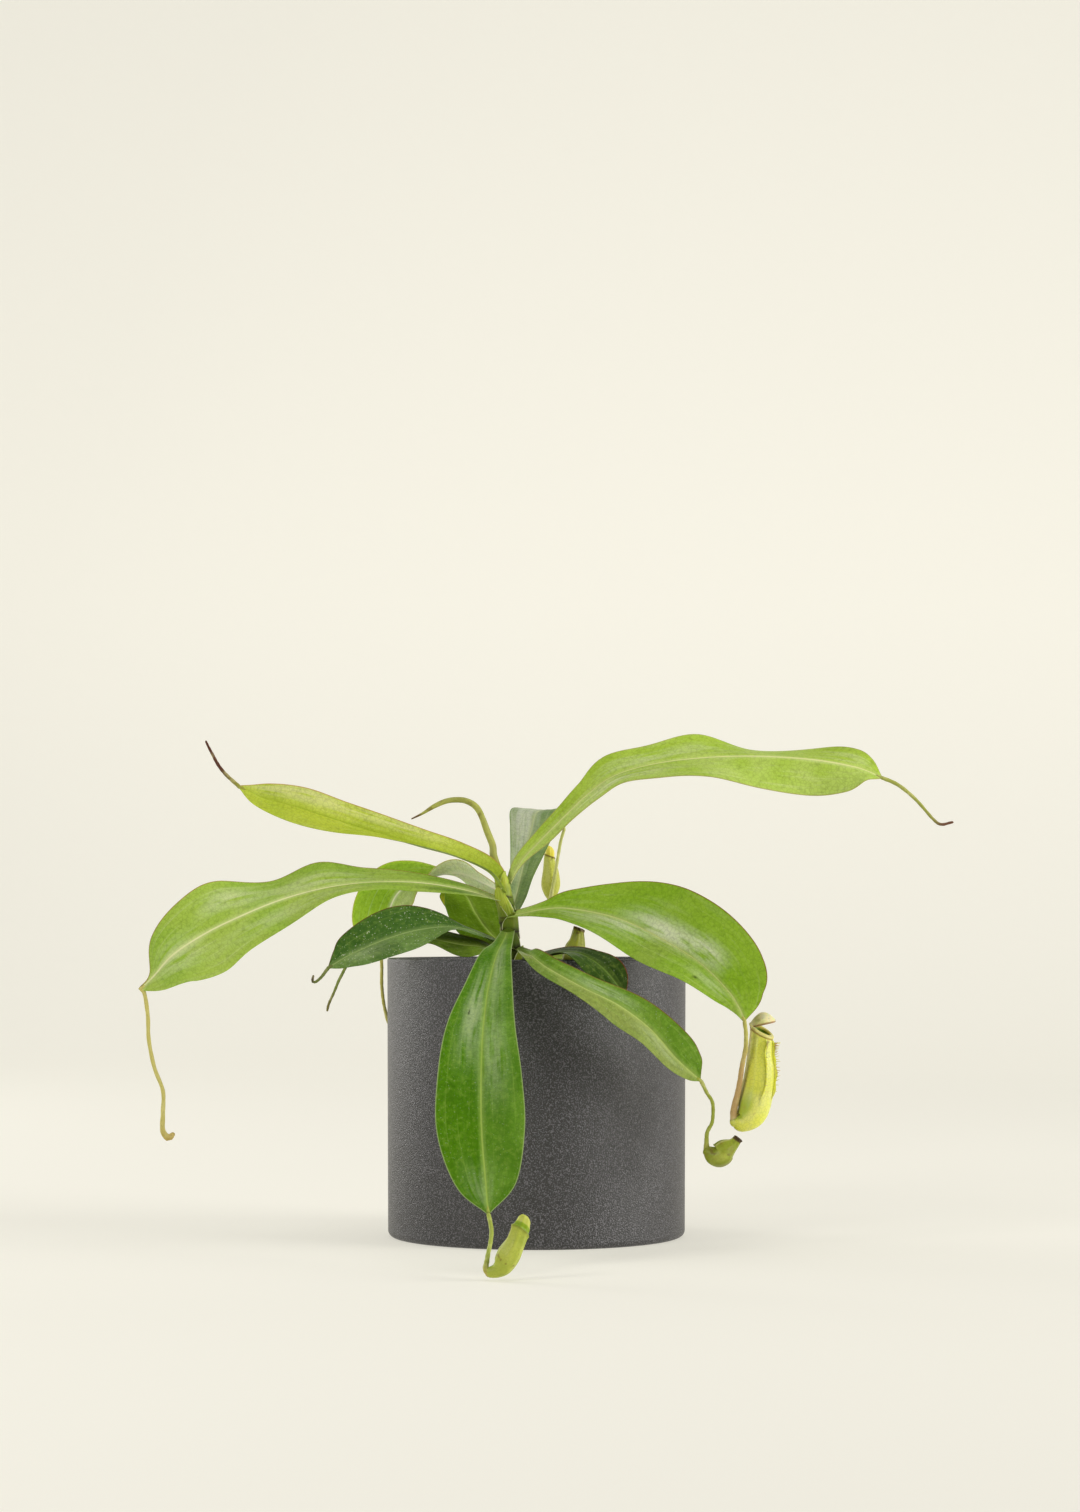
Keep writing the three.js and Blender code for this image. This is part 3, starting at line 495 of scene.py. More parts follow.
LEAF_LOOKS = {
    "leaf_upper_left": {
        **LIGHT_LEAF, "right": "c4d250", "left": "b6c43e", "deep": "a8bc32", "rib": "bccc48",
        "edge": "b98a52", "edge_side": 1, "painted_sheen_tint": "e6e4a6",
        "painted_sheens": [(0.75, 0.3, 0.7, 0.6, 0.7), (0.45, 0.25, 0.7, 0.5, 0.5)],
        "patches": [("8aa224", 0.8, 0.0, 0.35, 0, 3)],
    },
    "leaf_long_right": {
        **LIGHT_LEAF, "right": "b4cc60", "left": "aeca48", "deep": "a2c238", "edge": "a5a05a",
        "bloom": 0.2,
        "painted_sheens": [(0.5, 0.2, -0.35, 0.4, 0.5), (0.38, 0.2, 0.5, 0.5, 0.6), (0.85, 0.12, -0.4, 0.5, 0.35)],
    },
    "leaf_long_left": {
        **LIGHT_LEAF, "right": "a2be4c", "left": "a4be50", "deep": "90b63c", "rib": "e6e7b0",
        "edge": "9a6a3c", "edge_side": 1, "bloom": 0.12,
        "painted_sheens": [(0.42, 0.2, 0.3, 0.5, 0.45), (0.6, 0.12, 0.5, 0.4, 0.55),
                  (0.8, 0.14, -0.1, 0.7, 0.5), (0.5, 0.25, -0.5, 0.4, 0.35)],
        # The first patch is painted shade: a darker stripe by the base, on the left half of the blade.
        "patches": [("3f6a14", 0.75, 0.12, 0.14, -0.55, 0.5), ("5f8a20", 0.5, 0.1, 0.15, 0.6, 0.5)],
    },
    "leaf_broad_right": {
        **LIGHT_LEAF, "right": "8fac40", "left": "92b832", "deep": "84b01e", "rib": "cdd68a",
        "edge": "8a4a2a", "edge_side": -1, "bloom": 0.12, "painted_sheen_tint": "e2e8c6",
        "painted_sheens": [(0.5, 0.16, -0.15, 0.4, 0.9), (0.62, 0.1, -0.25, 0.35, 0.8), (0.4, 0.12, 0.2, 0.3, 0.5),
                  (0.3, 0.2, 0.4, 0.5, 0.35), (0.7, 0.12, 0.4, 0.4, 0.3)],
        "patches": [("33400f", 0.9, 0.65, 0.012, 0.6, 0.09), ("7f9c2c", 0.5, 0.2, 0.2, 0.6, 0.7)],
    },
    "leaf_front": {
        **DARK_LEAF, "right": "50800f", "left": "66922a", "deep": "477610", "rib": "a9c45c",
        "edge": "9db070", "bloom": 0.1,
        "painted_sheens": [(0.45, 0.2, 0.35, 0.5, 0.6), (0.3, 0.2, -0.3, 0.5, 0.5),
                  (0.55, 0.2, -0.3, 0.6, 0.4), (0.9, 0.12, 0.2, 0.8, 0.3)],
        "patches": [("1c2410", 0.9, 0.459, 0.012, 0.48, 0.05), ("33500f", 0.5, 0.0, 0.12, 0, 3)],
    },
    "leaf_low_right": {
        **DARK_LEAF, "right": "8a9a4c", "left": "6a8e2c", "deep": "5a841c", "rib": "b4c470",
        "edge": "7a4a30", "edge_side": -1, "bloom": 0.25,
        "painted_sheens": [(0.5, 0.15, -0.4, 0.5, 0.6), (0.72, 0.15, 0.3, 0.5, 0.4)],
    },
    "leaf_dark_right": {
        **DARK_LEAF, "right": "38521c", "left": "344a1c", "deep": "2a4212", "rib": "6f8a3c",
        "edge": "7a3426", "edge_side": -1, "bloom": 0.1,
    },
    "leaf_mid_left": {
        **DARK_LEAF, "right": "45692a", "left": "6d8c48", "deep": "375a1c", "rib": "9fb670",
        "edge": "6a3828", "edge_side": 1, "specks": 0.5, "bloom": 0.15,
        "painted_sheens": [(0.7, 0.2, -0.3, 0.6, 0.35)],
    },
    "leaf_arched_back": {
        **LIGHT_LEAF, "right": "9ab63c", "left": "a8b870", "deep": "8aa82c", "under": "dfe5cc",
        "rib": "eef0dc", "light_through": 0.6, "wax": 0.02,
        "painted_sheens": [(0.75, 0.3, -0.6, 0.6, 0.8)],
    },
    "leaf_upright_back": {
        **DARK_LEAF, "right": "86a062", "left": "a6b686", "deep": "6f9050", "under": "b2c09a",
        "rib": "ccd6a0", "wax": 0.1, "gloss": 0.45, "bloom": 0.3, "streak": "a8b890",
        "painted_sheens": [(0.55, 0.4, -0.4, 0.9, 0.85)], "painted_sheen_tint": "d5dac4",
    },
    "leaf_old_back": {
        **DARK_LEAF, "right": "6a8820", "left": "6f9020", "deep": "54760f", "under": "7a9a1c",
        "wax": 0.0, "bloom": 0.05, "streak": "8fa834",
        "patches": [("d2cc3a", 0.95, 1.0, 0.34, -0.6, 1.4), ("5a3a14", 0.8, 0.8, 0.03, -0.3, 0.12)],
    },
    "leaf_low_left": {
        **DARK_LEAF, "right": "5a701e", "left": "76942c", "deep": "465c16",
        "edge": "7a2f22", "edge_side": 1, "bloom": 0.1,
    },
    "leaf_small_inner": {
        **DARK_LEAF, "right": "7f9434", "left": "7f9434", "deep": "5c781f", "under": "9aa840",
    },
}

# Tendril colours from the blade to the tip, and the share of the length where the tip colour starts.
TENDRIL_LOOKS = {
    "tendril_upper_left": ("9a9a45", "5a3526", 0.35),
    "tendril_long_right": ("a3a851", "6b4632", 0.6),
    "tendril_long_left": ("c9c070", "b79a4a", 0.7),
    "tendril_arched_back": ("c4bd62", "b0a04a", 0.8),
    "tendril_mid_left": ("6f7a3c", "3a2420", 0.65),
    "tendril_low_left": ("7f8c46", "77703c", 0.6),
    "pitcher_front": ("a3b04c", "b0a54e", 0.7),
    "pitcher_low_right": ("98a23f", "a8a850", 0.8),
    "pitcher_upright_back": ("ccd07c", "cfcf70", 0.8),
    "pitcher_small_inner": ("8f9a48", "8a8d3e", 0.8),
    "pitcher_open_right": ("b9b45e", "bfa06a", 0.35),
}

# Young pitchers: the colours of the body, of its darker clouds, of the panel between its wings, of its
# upper end and of the lid; the shares of the length where the end and the lid start; the brown mark's
# place along and around; how strong the brown ring is; how much the end drops per mm towards +X and +Y;
# how far it is domed; how far its lip stands out; and the angles of its two wings.
PITCHER_LOOKS = {
    "pitcher_front": {
        "body": "b3bc4c", "seam": "8fa034", "panel": "8aa21c", "end": "86a418", "lid": "c2c65a",
        "end_from": 0.79, "lid_from": 0.92, "mark": (0.42, 0.22), "ring": 0.35,
        "slant": (0.2, 0.55), "dome": 1.0, "lip": 0.45, "wings": (2.1, 1.2),
    },
    "pitcher_low_right": {
        "body": "8c9a2e", "seam": "86702e", "panel": "8c9a2e", "end": "3d2418", "lid": "3d2418",
        "end_from": 0.92, "lid_from": 1.0, "mark": (0.3, 0.3), "ring": 0.4,
        "slant": (0, 0), "dome": 0.3, "lip": 0, "wings": (0.4, 2.2),
    },
    "pitcher_upright_back": {
        "body": "c8cc58", "seam": "96a030", "panel": "a0a834", "end": "e6da4c", "lid": "ece058",
        "end_from": 0.88, "lid_from": 0.94, "mark": (0.5, 0.3), "ring": 0.9,
        "slant": (0.35, 0), "dome": 1.2, "lip": 0.35, "wings": (2.1, 1.1),
    },
    "pitcher_small_inner": {
        "body": "9aa034", "seam": "66702a", "panel": "8c942c", "end": "4a3418", "lid": "4a3418",
        "end_from": 0.97, "lid_from": 1.0, "mark": (0.6, 0.25), "ring": 0.6,
        "slant": (0.3, 0), "dome": 0.2, "lip": 0, "wings": (2.2, 1.0),
    },
}
ROLLED_LOOK = {"body": "a3a654", "seam": "8b8a3c", "end": "6f4a2c", "end_from": 0.93, "ring": 0.0}


# ---------------------------------------------------------------- curves and surfaces

LENGTH_SAMPLES = 200  # points along a table from which its length is measured
LEAST_RADIUS = 0.3
MERGE_DISTANCE = 0.001  # mm, within which two points of a seam are one
FLAT_EDGE = 0.0005  # mm, below which an edge is taken away
# How finely each kind of tube is made: the mm between its rings, and its sides.
FINENESS = {
    "stem": (1.0, 32),
    "cord": (0.9, 14),
    "rolled": (0.8, 36),
    "young": (0.45, 72),
    "open": (0.6, 96),
}


def along(rows, share):
    """The row at a share of the way along a table, by Catmull-Rom through all its columns."""
    last = len(rows) - 1
    u = max(0.0, min(1.0, share)) * last
    i = min(int(u), last - 1)
    t = u - i
    p1, p2 = rows[i], rows[i + 1]
    p0 = rows[i - 1] if i > 0 else [2 * a - b for a, b in zip(p1, p2)]
    p3 = rows[i + 2] if i + 2 <= last else [2 * b - a for a, b in zip(p1, p2)]
    result = []
    for a, b, c, d in zip(p0, p1, p2, p3):
        m1, m2 = (c - a) / 2, (d - b) / 2
        result.append(b * (2 * t**3 - 3 * t**2 + 1) + m1 * (t**3 - 2 * t**2 + t)
                      + c * (3 * t**2 - 2 * t**3) + m2 * (t**3 - t**2))
    return result


def heading_along(rows, share):
    """The direction of the centre line at a share of the way along a table."""
    step = 0.02 / (len(rows) - 1)
    ahead = Vector(along(rows, share + step)[:3])
    return (ahead - Vector(along(rows, share - step)[:3])).normalized()


def smooth_step(low, high, value):
    """0 at low, 1 at high, and a smooth rise between them; high may lie below low."""
    t = max(0.0, min(1.0, (value - low) / (high - low)))
    return t * t * (3 - 2 * t)


def ridge(distance, width):
    """1 on a line and fading to nothing on both sides of it, in a bell of that width."""
    return math.exp(-((distance / width) ** 2))


def half_turn(angle):
    """The same angle between minus and plus half a turn."""
    return (angle + math.pi) % (2 * math.pi) - math.pi


def deselect():
    """Leaves edit mode and selects nothing."""
    if bpy.context.object and bpy.context.object.mode != "OBJECT":
        bpy.ops.object.mode_set(mode="OBJECT")
    bpy.ops.object.select_all(action="DESELECT")


def pick(*pieces):
    """Selects these pieces alone, the first one active."""
    deselect()
    for piece in pieces:
        piece.select_set(True)
    bpy.context.view_layer.objects.active = pieces[0]


def name_active(name):
    """Names the active object and its mesh."""
    piece = bpy.context.object
    piece.name = name
    piece.data.name = name
    return piece


def join(pieces, name):
    """Joins pieces into one object."""
    pick(*pieces)
    if len(pieces) > 1:
        bpy.ops.object.join()
    return name_active(name)


def apply_modifier(piece, kind, **settings):
    """Adds a modifier, sets it and applies it."""
    pick(piece)
    modifier = piece.modifiers.new(kind.title(), kind)
    for key, value in settings.items():
        setattr(modifier, key, value)
    bpy.ops.object.modifier_apply(modifier=modifier.name)


def finish_piece(piece, nodes, smooth_below=40):
    """Applies a piece's transforms, shades it smooth by angle, hangs it on the plant's body, and hides the
    model's nodes that it stands for.
    """
    if not piece.data.polygons:
        raise RuntimeError(f"{piece.name} came out without faces")
    pick(piece)
    bpy.ops.object.transform_apply(location=True, rotation=True, scale=True)
    bpy.ops.object.shade_smooth_by_angle(angle=math.radians(smooth_below))
    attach(piece, BODY)
    if nodes:
        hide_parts(*nodes)
    deselect()


def grid_surface(name, columns, rows, place):
    """A grid whose every point is put in its place: place(across, along) takes across from -1 to 1 and
    along from 0 to 1, and gives a point in mm with a dict of the values that materials read there."""
    deselect()
    bpy.ops.mesh.primitive_grid_add(x_subdivisions=columns, y_subdivisions=rows, size=2, calc_uvs=True)
    piece = name_active(name)
    values = {}
    for vertex in piece.data.vertices:
        point, facts = place(vertex.co.x, (vertex.co.y + 1) / 2)
        vertex.co = Vector(point) * MM
        for key, value in facts.items():
            values.setdefault(key, []).append(value)
    for key, numbers in values.items():
        piece.data.attributes.new(key, "FLOAT", "POINT").data.foreach_set("value", numbers)
    return piece


def close_seams(piece):
    """Merges the points that lie on each other and turns the faces outwards."""
    pick(piece)
    bpy.ops.object.mode_set(mode="EDIT")
    bpy.ops.mesh.select_all(action="SELECT")
    bpy.ops.mesh.remove_doubles(threshold=MERGE_DISTANCE * MM)
    bpy.ops.mesh.dissolve_degenerate(threshold=FLAT_EDGE * MM)
    bpy.ops.mesh.normals_make_consistent(inside=False)
    bpy.ops.object.mode_set(mode="OBJECT")


def even_shares(rows, spacing):
    """Shares of a table's length, about spacing mm apart."""
    fine = [Vector(along(rows, i / LENGTH_SAMPLES)[:3]) for i in range(LENGTH_SAMPLES + 1)]
    lengths = [0.0]
    for a, b in zip(fine, fine[1:]):
        lengths.append(lengths[-1] + (b - a).length)
    count = max(4, round(lengths[-1] / spacing))
    shares = []
    i = 0
    for k in range(count + 1):
        goal = lengths[-1] * k / count
        while i < LENGTH_SAMPLES - 1 and lengths[i + 1] < goal:
            i += 1
        stretch = max(1e-9, lengths[i + 1] - lengths[i])
        shares.append(min(1.0, (i + (goal - lengths[i]) / stretch) / LENGTH_SAMPLES))
    return shares


def ring_frames(rows, kind):
    """Rings along a table, as close as its kind of tube needs. Each has its centre, its radius and the
    directions ahead and to two sides, which are carried along without twist."""
    frames = []
    side = Vector((0, 1, 0))
    if abs(heading_along(rows, 0).y) > 0.9:
        side = Vector((1, 0, 0))
    for share in even_shares(rows, FINENESS[kind][0]):
        row = along(rows, share)
        direction = heading_along(rows, share)
        side = (side - direction * side.dot(direction)).normalized()
        frames.append({"centre": Vector(row[:3]), "radius": max(LEAST_RADIUS, row[3]), "side": side.copy(),
                       "other": direction.cross(side), "ahead": direction, "along": share, "slant": 0.0})
    return frames


def dome(frames, at_end, height, steps):
    """The rings, with a dome of that height and that many steps to close their start or their end."""
    edge = frames[-1] if at_end else frames[0]
    rings = []
    for k in range(1, steps + 1):
        turn = math.pi / 2 * k / steps
        shift = edge["ahead"] * height * math.sin(turn) * (1 if at_end else -1)
        rings.append({**edge, "centre": edge["centre"] + shift,
                      "radius": edge["radius"] * max(0.0, math.cos(turn))})
    return frames + rings if at_end else rings[::-1] + frames


def lobes(height, count, angle, twist=0.0):
    """Soft lobes round a tube, for its bulge, turned by twist."""
    return height * math.sin(count * angle + twist)


def tube(name, frames, kind, bulge, drop=(0, 0)):
    """A closed skin over a list of rings. bulge(along, angle) adds to the radius, and drop lowers a ring
    by that much per mm towards +X and +Y, by the ring's own share of slant."""
    last = len(frames) - 1

    def place(across, share):
        ring = frames[round(share * last)]
        angle = math.pi * (across + 1)
        radius = ring["radius"]
        if radius > 0:
            radius += bulge(ring["along"], angle)
        spoke = ring["side"] * math.cos(angle) + ring["other"] * math.sin(angle)
        point = ring["centre"] + spoke * radius
        offset = point - ring["centre"]
        point.z -= ring["slant"] * (drop[0] * offset.x + drop[1] * offset.y)
        facts = {"along": ring["along"], "around": angle / (2 * math.pi), "inner": ring.get("inner", 0.0)}
        return point, facts

    piece = grid_surface(name, FINENESS[kind][1], last, place)
    close_seams(piece)
    return piece


# ---------------------------------------------------------------- materials

LEAF_SCATTER = (0.7, 1.0, 0.35)  # green light goes furthest through a blade
WALL_SCATTER = (1.0, 0.9, 0.3)  # yellow light goes furthest through a pitcher's wall


def add_node(tree, kind, links=None, **settings):
    """Adds a node, sets it, and fills its sockets with values or with links from other sockets."""
    made = tree.nodes.new(kind)
    for key, value in settings.items():
        setattr(made, key, value)
    for socket, value in (links or {}).items():
        if isinstance(value, bpy.types.NodeSocket):
            tree.links.new(value, made.inputs[socket])
        else:
            made.inputs[socket].default_value = value
    return made


def new_material(name, roughness, reads=(), grains=None, ior=1.45, **sockets):
    """A material with its Principled shader set, and the values that its coats are placed by, each under
    its name: the place in metres, what the piece says of itself under the names in reads, and noises
    with blotches of these sizes in mm and this much detail."""
    material = bpy.data.materials.new(name)
    material.use_nodes = True
    tree = material.node_tree
    for socket, value in {"Roughness": roughness, "IOR": ior, **sockets}.items():
        tree.nodes["Principled BSDF"].inputs[socket.replace("_", " ")].default_value = value
    values = {"place": add_node(tree, "ShaderNodeTexCoord").outputs["Object"]}
    for key in reads:
        values[key] = add_node(tree, "ShaderNodeAttribute", attribute_name=key).outputs["Fac"]
    for key, (size, detail) in (grains or {}).items():
        pattern = {"Vector": values["place"], "Scale": 1 / (size * MM), "Detail": detail}
        values[key] = add_node(tree, "ShaderNodeTexNoise", pattern).outputs["Fac"]
    return material, values


def band(value, centre, reach):
    """Where a coat lies that is full where a value is at the centre and gone at its reach both ways."""
    return [(value, centre - reach, centre), (value, centre + reach, centre)]


def spot(centre, reach, across_centre, across_reach):
    """Where a patch lies on a blade: its middle and reach along it, then across it."""
    return band("along", centre, reach) + band("across", across_centre, across_reach)


def paint(material, values, base, coats, relief=None):
    """Lays coats of colour over a linear base colour and embosses the surface. Each coat is its colour,
    its greatest strength, and where it lies: it is full where each value is at the second of its two
    limits, and gone at the first. The relief is the value that gives its height, how deep it is in mm,
    and its strength."""
    tree = material.node_tree
    shader = tree.nodes["Principled BSDF"]
    shade = base
    for code, strength, places in coats:
        share = strength
        for value, low, high in places:
            part = add_node(tree, "ShaderNodeMapRange",
                            {"Value": values[value], "From Min": low, "From Max": high},
                            interpolation_type="SMOOTHSTEP").outputs["Result"]
            share = add_node(tree, "ShaderNodeMath", {0: part, 1: share}, operation="MULTIPLY").outputs[0]
        shade = add_node(tree, "ShaderNodeMix", {"Factor": share, 6: shade, 7: colour(code, 1)},
                         data_type="RGBA").outputs[2]
    tree.links.new(shade, shader.inputs["Base Color"])
    if relief:
        height, depth, strength = relief
        bump = add_node(tree, "ShaderNodeBump",
                        {"Height": values[height], "Distance": depth * MM, "Strength": strength})
        tree.links.new(bump.outputs["Normal"], shader.inputs["Normal"])
    return material


def leaf_material(name, look, underside=False):
    """Living leaf: a thin wax cuticle over green tissue. It reads as satin, with long veins beside a pale
    midrib, and a dusty bloom that lies in streaks along the veins where the wax is thick. Pale patches of
    painted sheen, streaked like the bloom, stand in for the shine of the wax."""
    glow_depth = 0.6 if look["light_through"] < 0.25 else 3.0
    material, values = new_material(
        name, look["gloss"] + (0.1 if underside else 0), ["across", "along", "rib", "edge", "run"],
        {"clouds": (22, 1), "mottle": (2.0, 3), "dots": (0.8, 1)},
        Subsurface_Weight=look["light_through"], Subsurface_Scale=glow_depth * MM,
        Subsurface_Radius=LEAF_SCATTER, Specular_IOR_Level=look["wax"])
    tree = material.node_tree
    vein_gap = 0.13  # a share of half the width, so that a few long veins run on each side
    streaks_across = 7.0
    streaks_per_mm = 0.045
    net_per_mm = 0.5
    for key, source, operation, amount in (
            ("from_rib", "rib", "ABSOLUTE", 0.0),
            ("out", "across", "ABSOLUTE", 0.0),
            ("to_vein", "out", "PINGPONG", vein_gap),
            ("wide", "across", "MULTIPLY", streaks_across),
            ("long", "run", "MULTIPLY", streaks_per_mm)):
        values[key] = add_node(tree, "ShaderNodeMath", {0: values[source], 1: amount},
                               operation=operation).outputs[0]
    lengthwise = add_node(tree, "ShaderNodeCombineXYZ", {"X": values["wide"], "Y": values["long"]})
    values["streaks"] = add_node(tree, "ShaderNodeTexNoise", {
        "Vector": lengthwise.outputs[0], "Scale": 1.0, "Detail": 3}).outputs["Fac"]
    flat = add_node(tree, "ShaderNodeCombineXYZ", {"X": values["rib"], "Y": values["run"]})
    values["net"] = add_node(tree, "ShaderNodeTexVoronoi", {"Vector": flat.outputs[0], "Scale": net_per_mm},
                             feature="DISTANCE_TO_EDGE").outputs["Distance"]
    values["quilting"] = add_node(tree, "ShaderNodeMath", {0: values["mottle"], 1: values["net"]},
                                  operation="ADD").outputs[0]
    if underside:
        base = look["under"]
        coats = [(look["streak"], 0.25, [("streaks", 0.45, 0.65)])]
    else:
        base = look["right"]
        coats = [
            (look["left"], 1.0, [("across", 0.06, -0.06)]),
            (look["deep"], 0.55, [("clouds", 0.44, 0.6)]),
            (look["streak"], look["bloom"], [("streaks", 0.5, 0.66)]),
        ]
        # painted highlights: pale streaked patches of sheen that stand in for the shine of the wax
        for *patch, strength in look["painted_sheens"]:
            coats.append((look["painted_sheen_tint"], strength, [*spot(*patch), ("streaks", 0.3, 0.55)]))
    coats += [(code, strength, spot(*patch)) for code, strength, *patch in look["patches"]]
    side = look["edge_side"]
    tinted_side = ("across", -0.1 * side, 0.3 * side) if side else ("across", -2.0, -1.5)
    coats += [
        (look["rib"], 0.4, [("along", 0.13, 0.0)]),
        ("1c3208", 0.16, [("mottle", 0.5, 0.7)]),
        ("c6dc6a", 0.1, [("mottle", 0.5, 0.3)]),
        ("eef2d8", look["specks"], [("dots", 0.66, 0.74)]),
        ("1f3a0a", 0.16, [("net", 0.1, 0.02)]),
        (look["rib"], 0.14, [("to_vein", 0.02, 0.0), ("streaks", 0.4, 0.6)]),
        (look["rib"], 0.3, [("from_rib", 2.2, 0.4)]),
        (look["rib"], 0.8, [("from_rib", 0.6, 0.3)]),
        (look["edge"], 0.75, [("edge", 0.55, 0.2), tinted_side]),
    ]
    return paint(material, values, colour(base, 1), coats, ("quilting", 0.14, 0.7))


def leaf_base_material():
    """Clasping leaf base: fresh waxy green, yellower and paler on young leaves, with a pale thin margin
    and a dark scar where it starts."""
    material, values = new_material(
        "leaf_base_wax", 0.4, ["across", "along", "edge", "bright"], {"clouds": (6, 2), "fleck": (1.1, 3)},
        Subsurface_Weight=0.15, Subsurface_Scale=0.6 * MM, Specular_IOR_Level=0.15)
    tree = material.node_tree
    veins_across = 14.0
    veins_along = 0.8
    wrap = add_node(tree, "ShaderNodeMath", {0: values["across"], 1: veins_across}, operation="MULTIPLY")
    run = add_node(tree, "ShaderNodeMath", {0: values["along"], 1: veins_along}, operation="MULTIPLY")
    lengthwise = add_node(tree, "ShaderNodeCombineXYZ", {"X": wrap.outputs[0], "Y": run.outputs[0]})
    values["veins"] = add_node(tree, "ShaderNodeTexNoise", {
        "Vector": lengthwise.outputs[0], "Scale": 1.0, "Detail": 2}).outputs["Fac"]
    return paint(material, values, colour("3c5412", 1), [
        ("c6d44a", 1.0, [("bright", 0.0, 1.0)]),
        ("5d7a1a", 0.5, [("along", 0.7, 0.0)]),
        ("dbe08c", 0.35, [("veins", 0.5, 0.66), ("bright", 0.2, 0.8)]),
        ("44600f", 0.45, [("veins", 0.48, 0.34)]),
        ("52701a", 0.35, [("clouds", 0.5, 0.68)]),
        ("2c2410", 0.85, [("along", 0.4, 0.05), ("bright", 0.6, 0.3)]),
        ("2c1f0e", 0.85, [("along", 0.14, 0.0)]),
        ("e3e6b4", 0.85, [("edge", 0.6, 0.25)]),
    ], ("fleck", 0.12, 0.6))


def tendril_material(name, look):
    """Living tendril: a smooth green cord with a thin skin, browner and duller towards its tip."""
    start, tip, turn = look
    material, values = new_material(
        name, 0.45, ["along"], {"blotch": (5, 2), "fleck": (0.8, 2)}, Subsurface_Weight=0.1,
        Subsurface_Scale=0.5 * MM, Subsurface_Radius=WALL_SCATTER, Specular_IOR_Level=0.25)
    return paint(material, values, colour(start, 1), [
        (tip, 1.0, [("along", turn, min(1.0, turn + 0.3))]),
        ("e6e0a0", 0.3, [("blotch", 0.5, 0.7)]),
        ("4a3a1c", 0.25, [("fleck", 0.55, 0.75)]),
    ], ("fleck", 0.08, 0.5))


def pitcher_material(name, look, net_strength=0.22):
    """Living pitcher wall: thin, waxy and slightly see-through, with a fine net of veins and brown
    flecks. A young pitcher also has a panel between two pale wings, a brown mark and a lid."""
    material, values = new_material(
        name, 0.38, ["along", "around"], {"clouds": (9, 2), "fleck": (1.1, 2), "spots": (3.2, 1)},
        Subsurface_Weight=0.25, Subsurface_Scale=0.9 * MM, Subsurface_Radius=WALL_SCATTER,
        Specular_IOR_Level=0.25)
    vein_gap = 1.8 * MM
    values["net"] = add_node(material.node_tree, "ShaderNodeTexVoronoi",
                             {"Vector": values["place"], "Scale": 1 / vein_gap},
                             feature="DISTANCE_TO_EDGE").outputs["Distance"]
    end = look["end_from"]
    coats = [
        (look["seam"], 0.5, [("clouds", 0.48, 0.68)]),
        ("d8da70", 0.3, [("clouds", 0.5, 0.3)]),
        (look["seam"], net_strength, [("net", 0.12, 0.02)]),
        ("6b4a20", 0.5, [("spots", 0.66, 0.74)]),
        ("5b4a1c", 0.25, [("fleck", 0.6, 0.75)]),
        (look["end"], 0.9, [("along", end - 0.02, end + 0.02)]),
        ("5c4318", look["ring"], [("along", end - 0.03, end), ("along", end + 0.04, end)]),
    ]
    if "wings" in look:
        lid = look["lid_from"]
        first, last = sorted(wing / (2 * math.pi) for wing in look["wings"])
        mark_along, mark_around = look["mark"]
        coats.append((look["panel"], 0.8, [("around", first, first + 0.02), ("around", last, last - 0.02),
                                           ("along", end + 0.01, end)]))
        for wing in (first, last):
            coats.append(("d2cf94", 0.5, [*band("around", wing, 0.025), ("along", 0.2, 0.5),
                                          ("along", lid, end)]))
        coats += [
            ("4a3a14", 0.85, band("along", mark_along, 0.03) + band("around", mark_around, 0.03)),
            (look["lid"], 0.9, [("along", lid - 0.03, lid + 0.01)]),
        ]
    return paint(material, values, colour(look["body"], 1), coats, ("fleck", 0.1, 0.5))


def open_pitcher_material():
    """Living pitcher wall: yellow-green wax that light glows through, with a pinkish seam on the left, a
    greener patch low down, fine veins, a brown line under the pale lip and a darker inside."""
    material, values = new_material(
        "pitcher_open_wax", 0.36, ["along", "around", "inner"],
        {"clouds": (11, 2), "fleck": (1.0, 2), "spots": (3.5, 1)}, Subsurface_Weight=0.5,
        Subsurface_Scale=2.5 * MM, Subsurface_Radius=WALL_SCATTER)
    vein_gap = 1.7 * MM
    values["net"] = add_node(material.node_tree, "ShaderNodeTexVoronoi",
                             {"Vector": values["place"], "Scale": 1 / vein_gap},
                             feature="DISTANCE_TO_EDGE").outputs["Distance"]
    return paint(material, values, colour("e2e45c", 1), [
        ("d6da4c", 0.5, [("clouds", 0.5, 0.66)]),
        ("eceaa0", 0.4, [("clouds", 0.5, 0.34)]),
        ("e4cda4", 0.6, [("around", 0.14, 0.22), ("around", 0.33, 0.26)]),
        ("8fae2a", 0.7, [("along", 0.5, 0.3), ("around", 0.2, 0.3), ("around", 0.46, 0.38)]),
        ("a8b440", 0.3, [("net", 0.12, 0.02)]),
        ("b49a4c", 0.25, [("spots", 0.66, 0.74)]),
        ("a89040", 0.15, [("fleck", 0.6, 0.75)]),
        ("8a5a2c", 0.7, [("along", 0.94, 0.985), ("along", 1.03, 1.0)]),
        ("d2c884", 0.8, [("along", 1.02, 1.04)]),
        ("6f9420", 0.9, [("inner", 0.4, 0.6)]),
    ], ("fleck", 0.1, 0.5))


def lid_material():
    """Living lid: pale cream wax, clouded with green and freckled with brown, with a brown edge."""
    material, values = new_material(
        "lid_cream_wax", 0.4, ["edge"], {"clouds": (4, 2), "fleck": (0.9, 2)}, Subsurface_Weight=0.25,
        Subsurface_Scale=0.9 * MM)
    return paint(material, values, colour("fbf3b0", 1), [
        ("e6e0b8", 0.6, [("clouds", 0.42, 0.6)]),
        ("aab04a", 0.5, [("clouds", 0.52, 0.36)]),
        ("9a6a34", 0.3, [("fleck", 0.6, 0.72)]),
        ("8a5424", 0.8, [("edge", 0.45, 0.15)]),
    ], ("fleck", 0.1, 0.5))


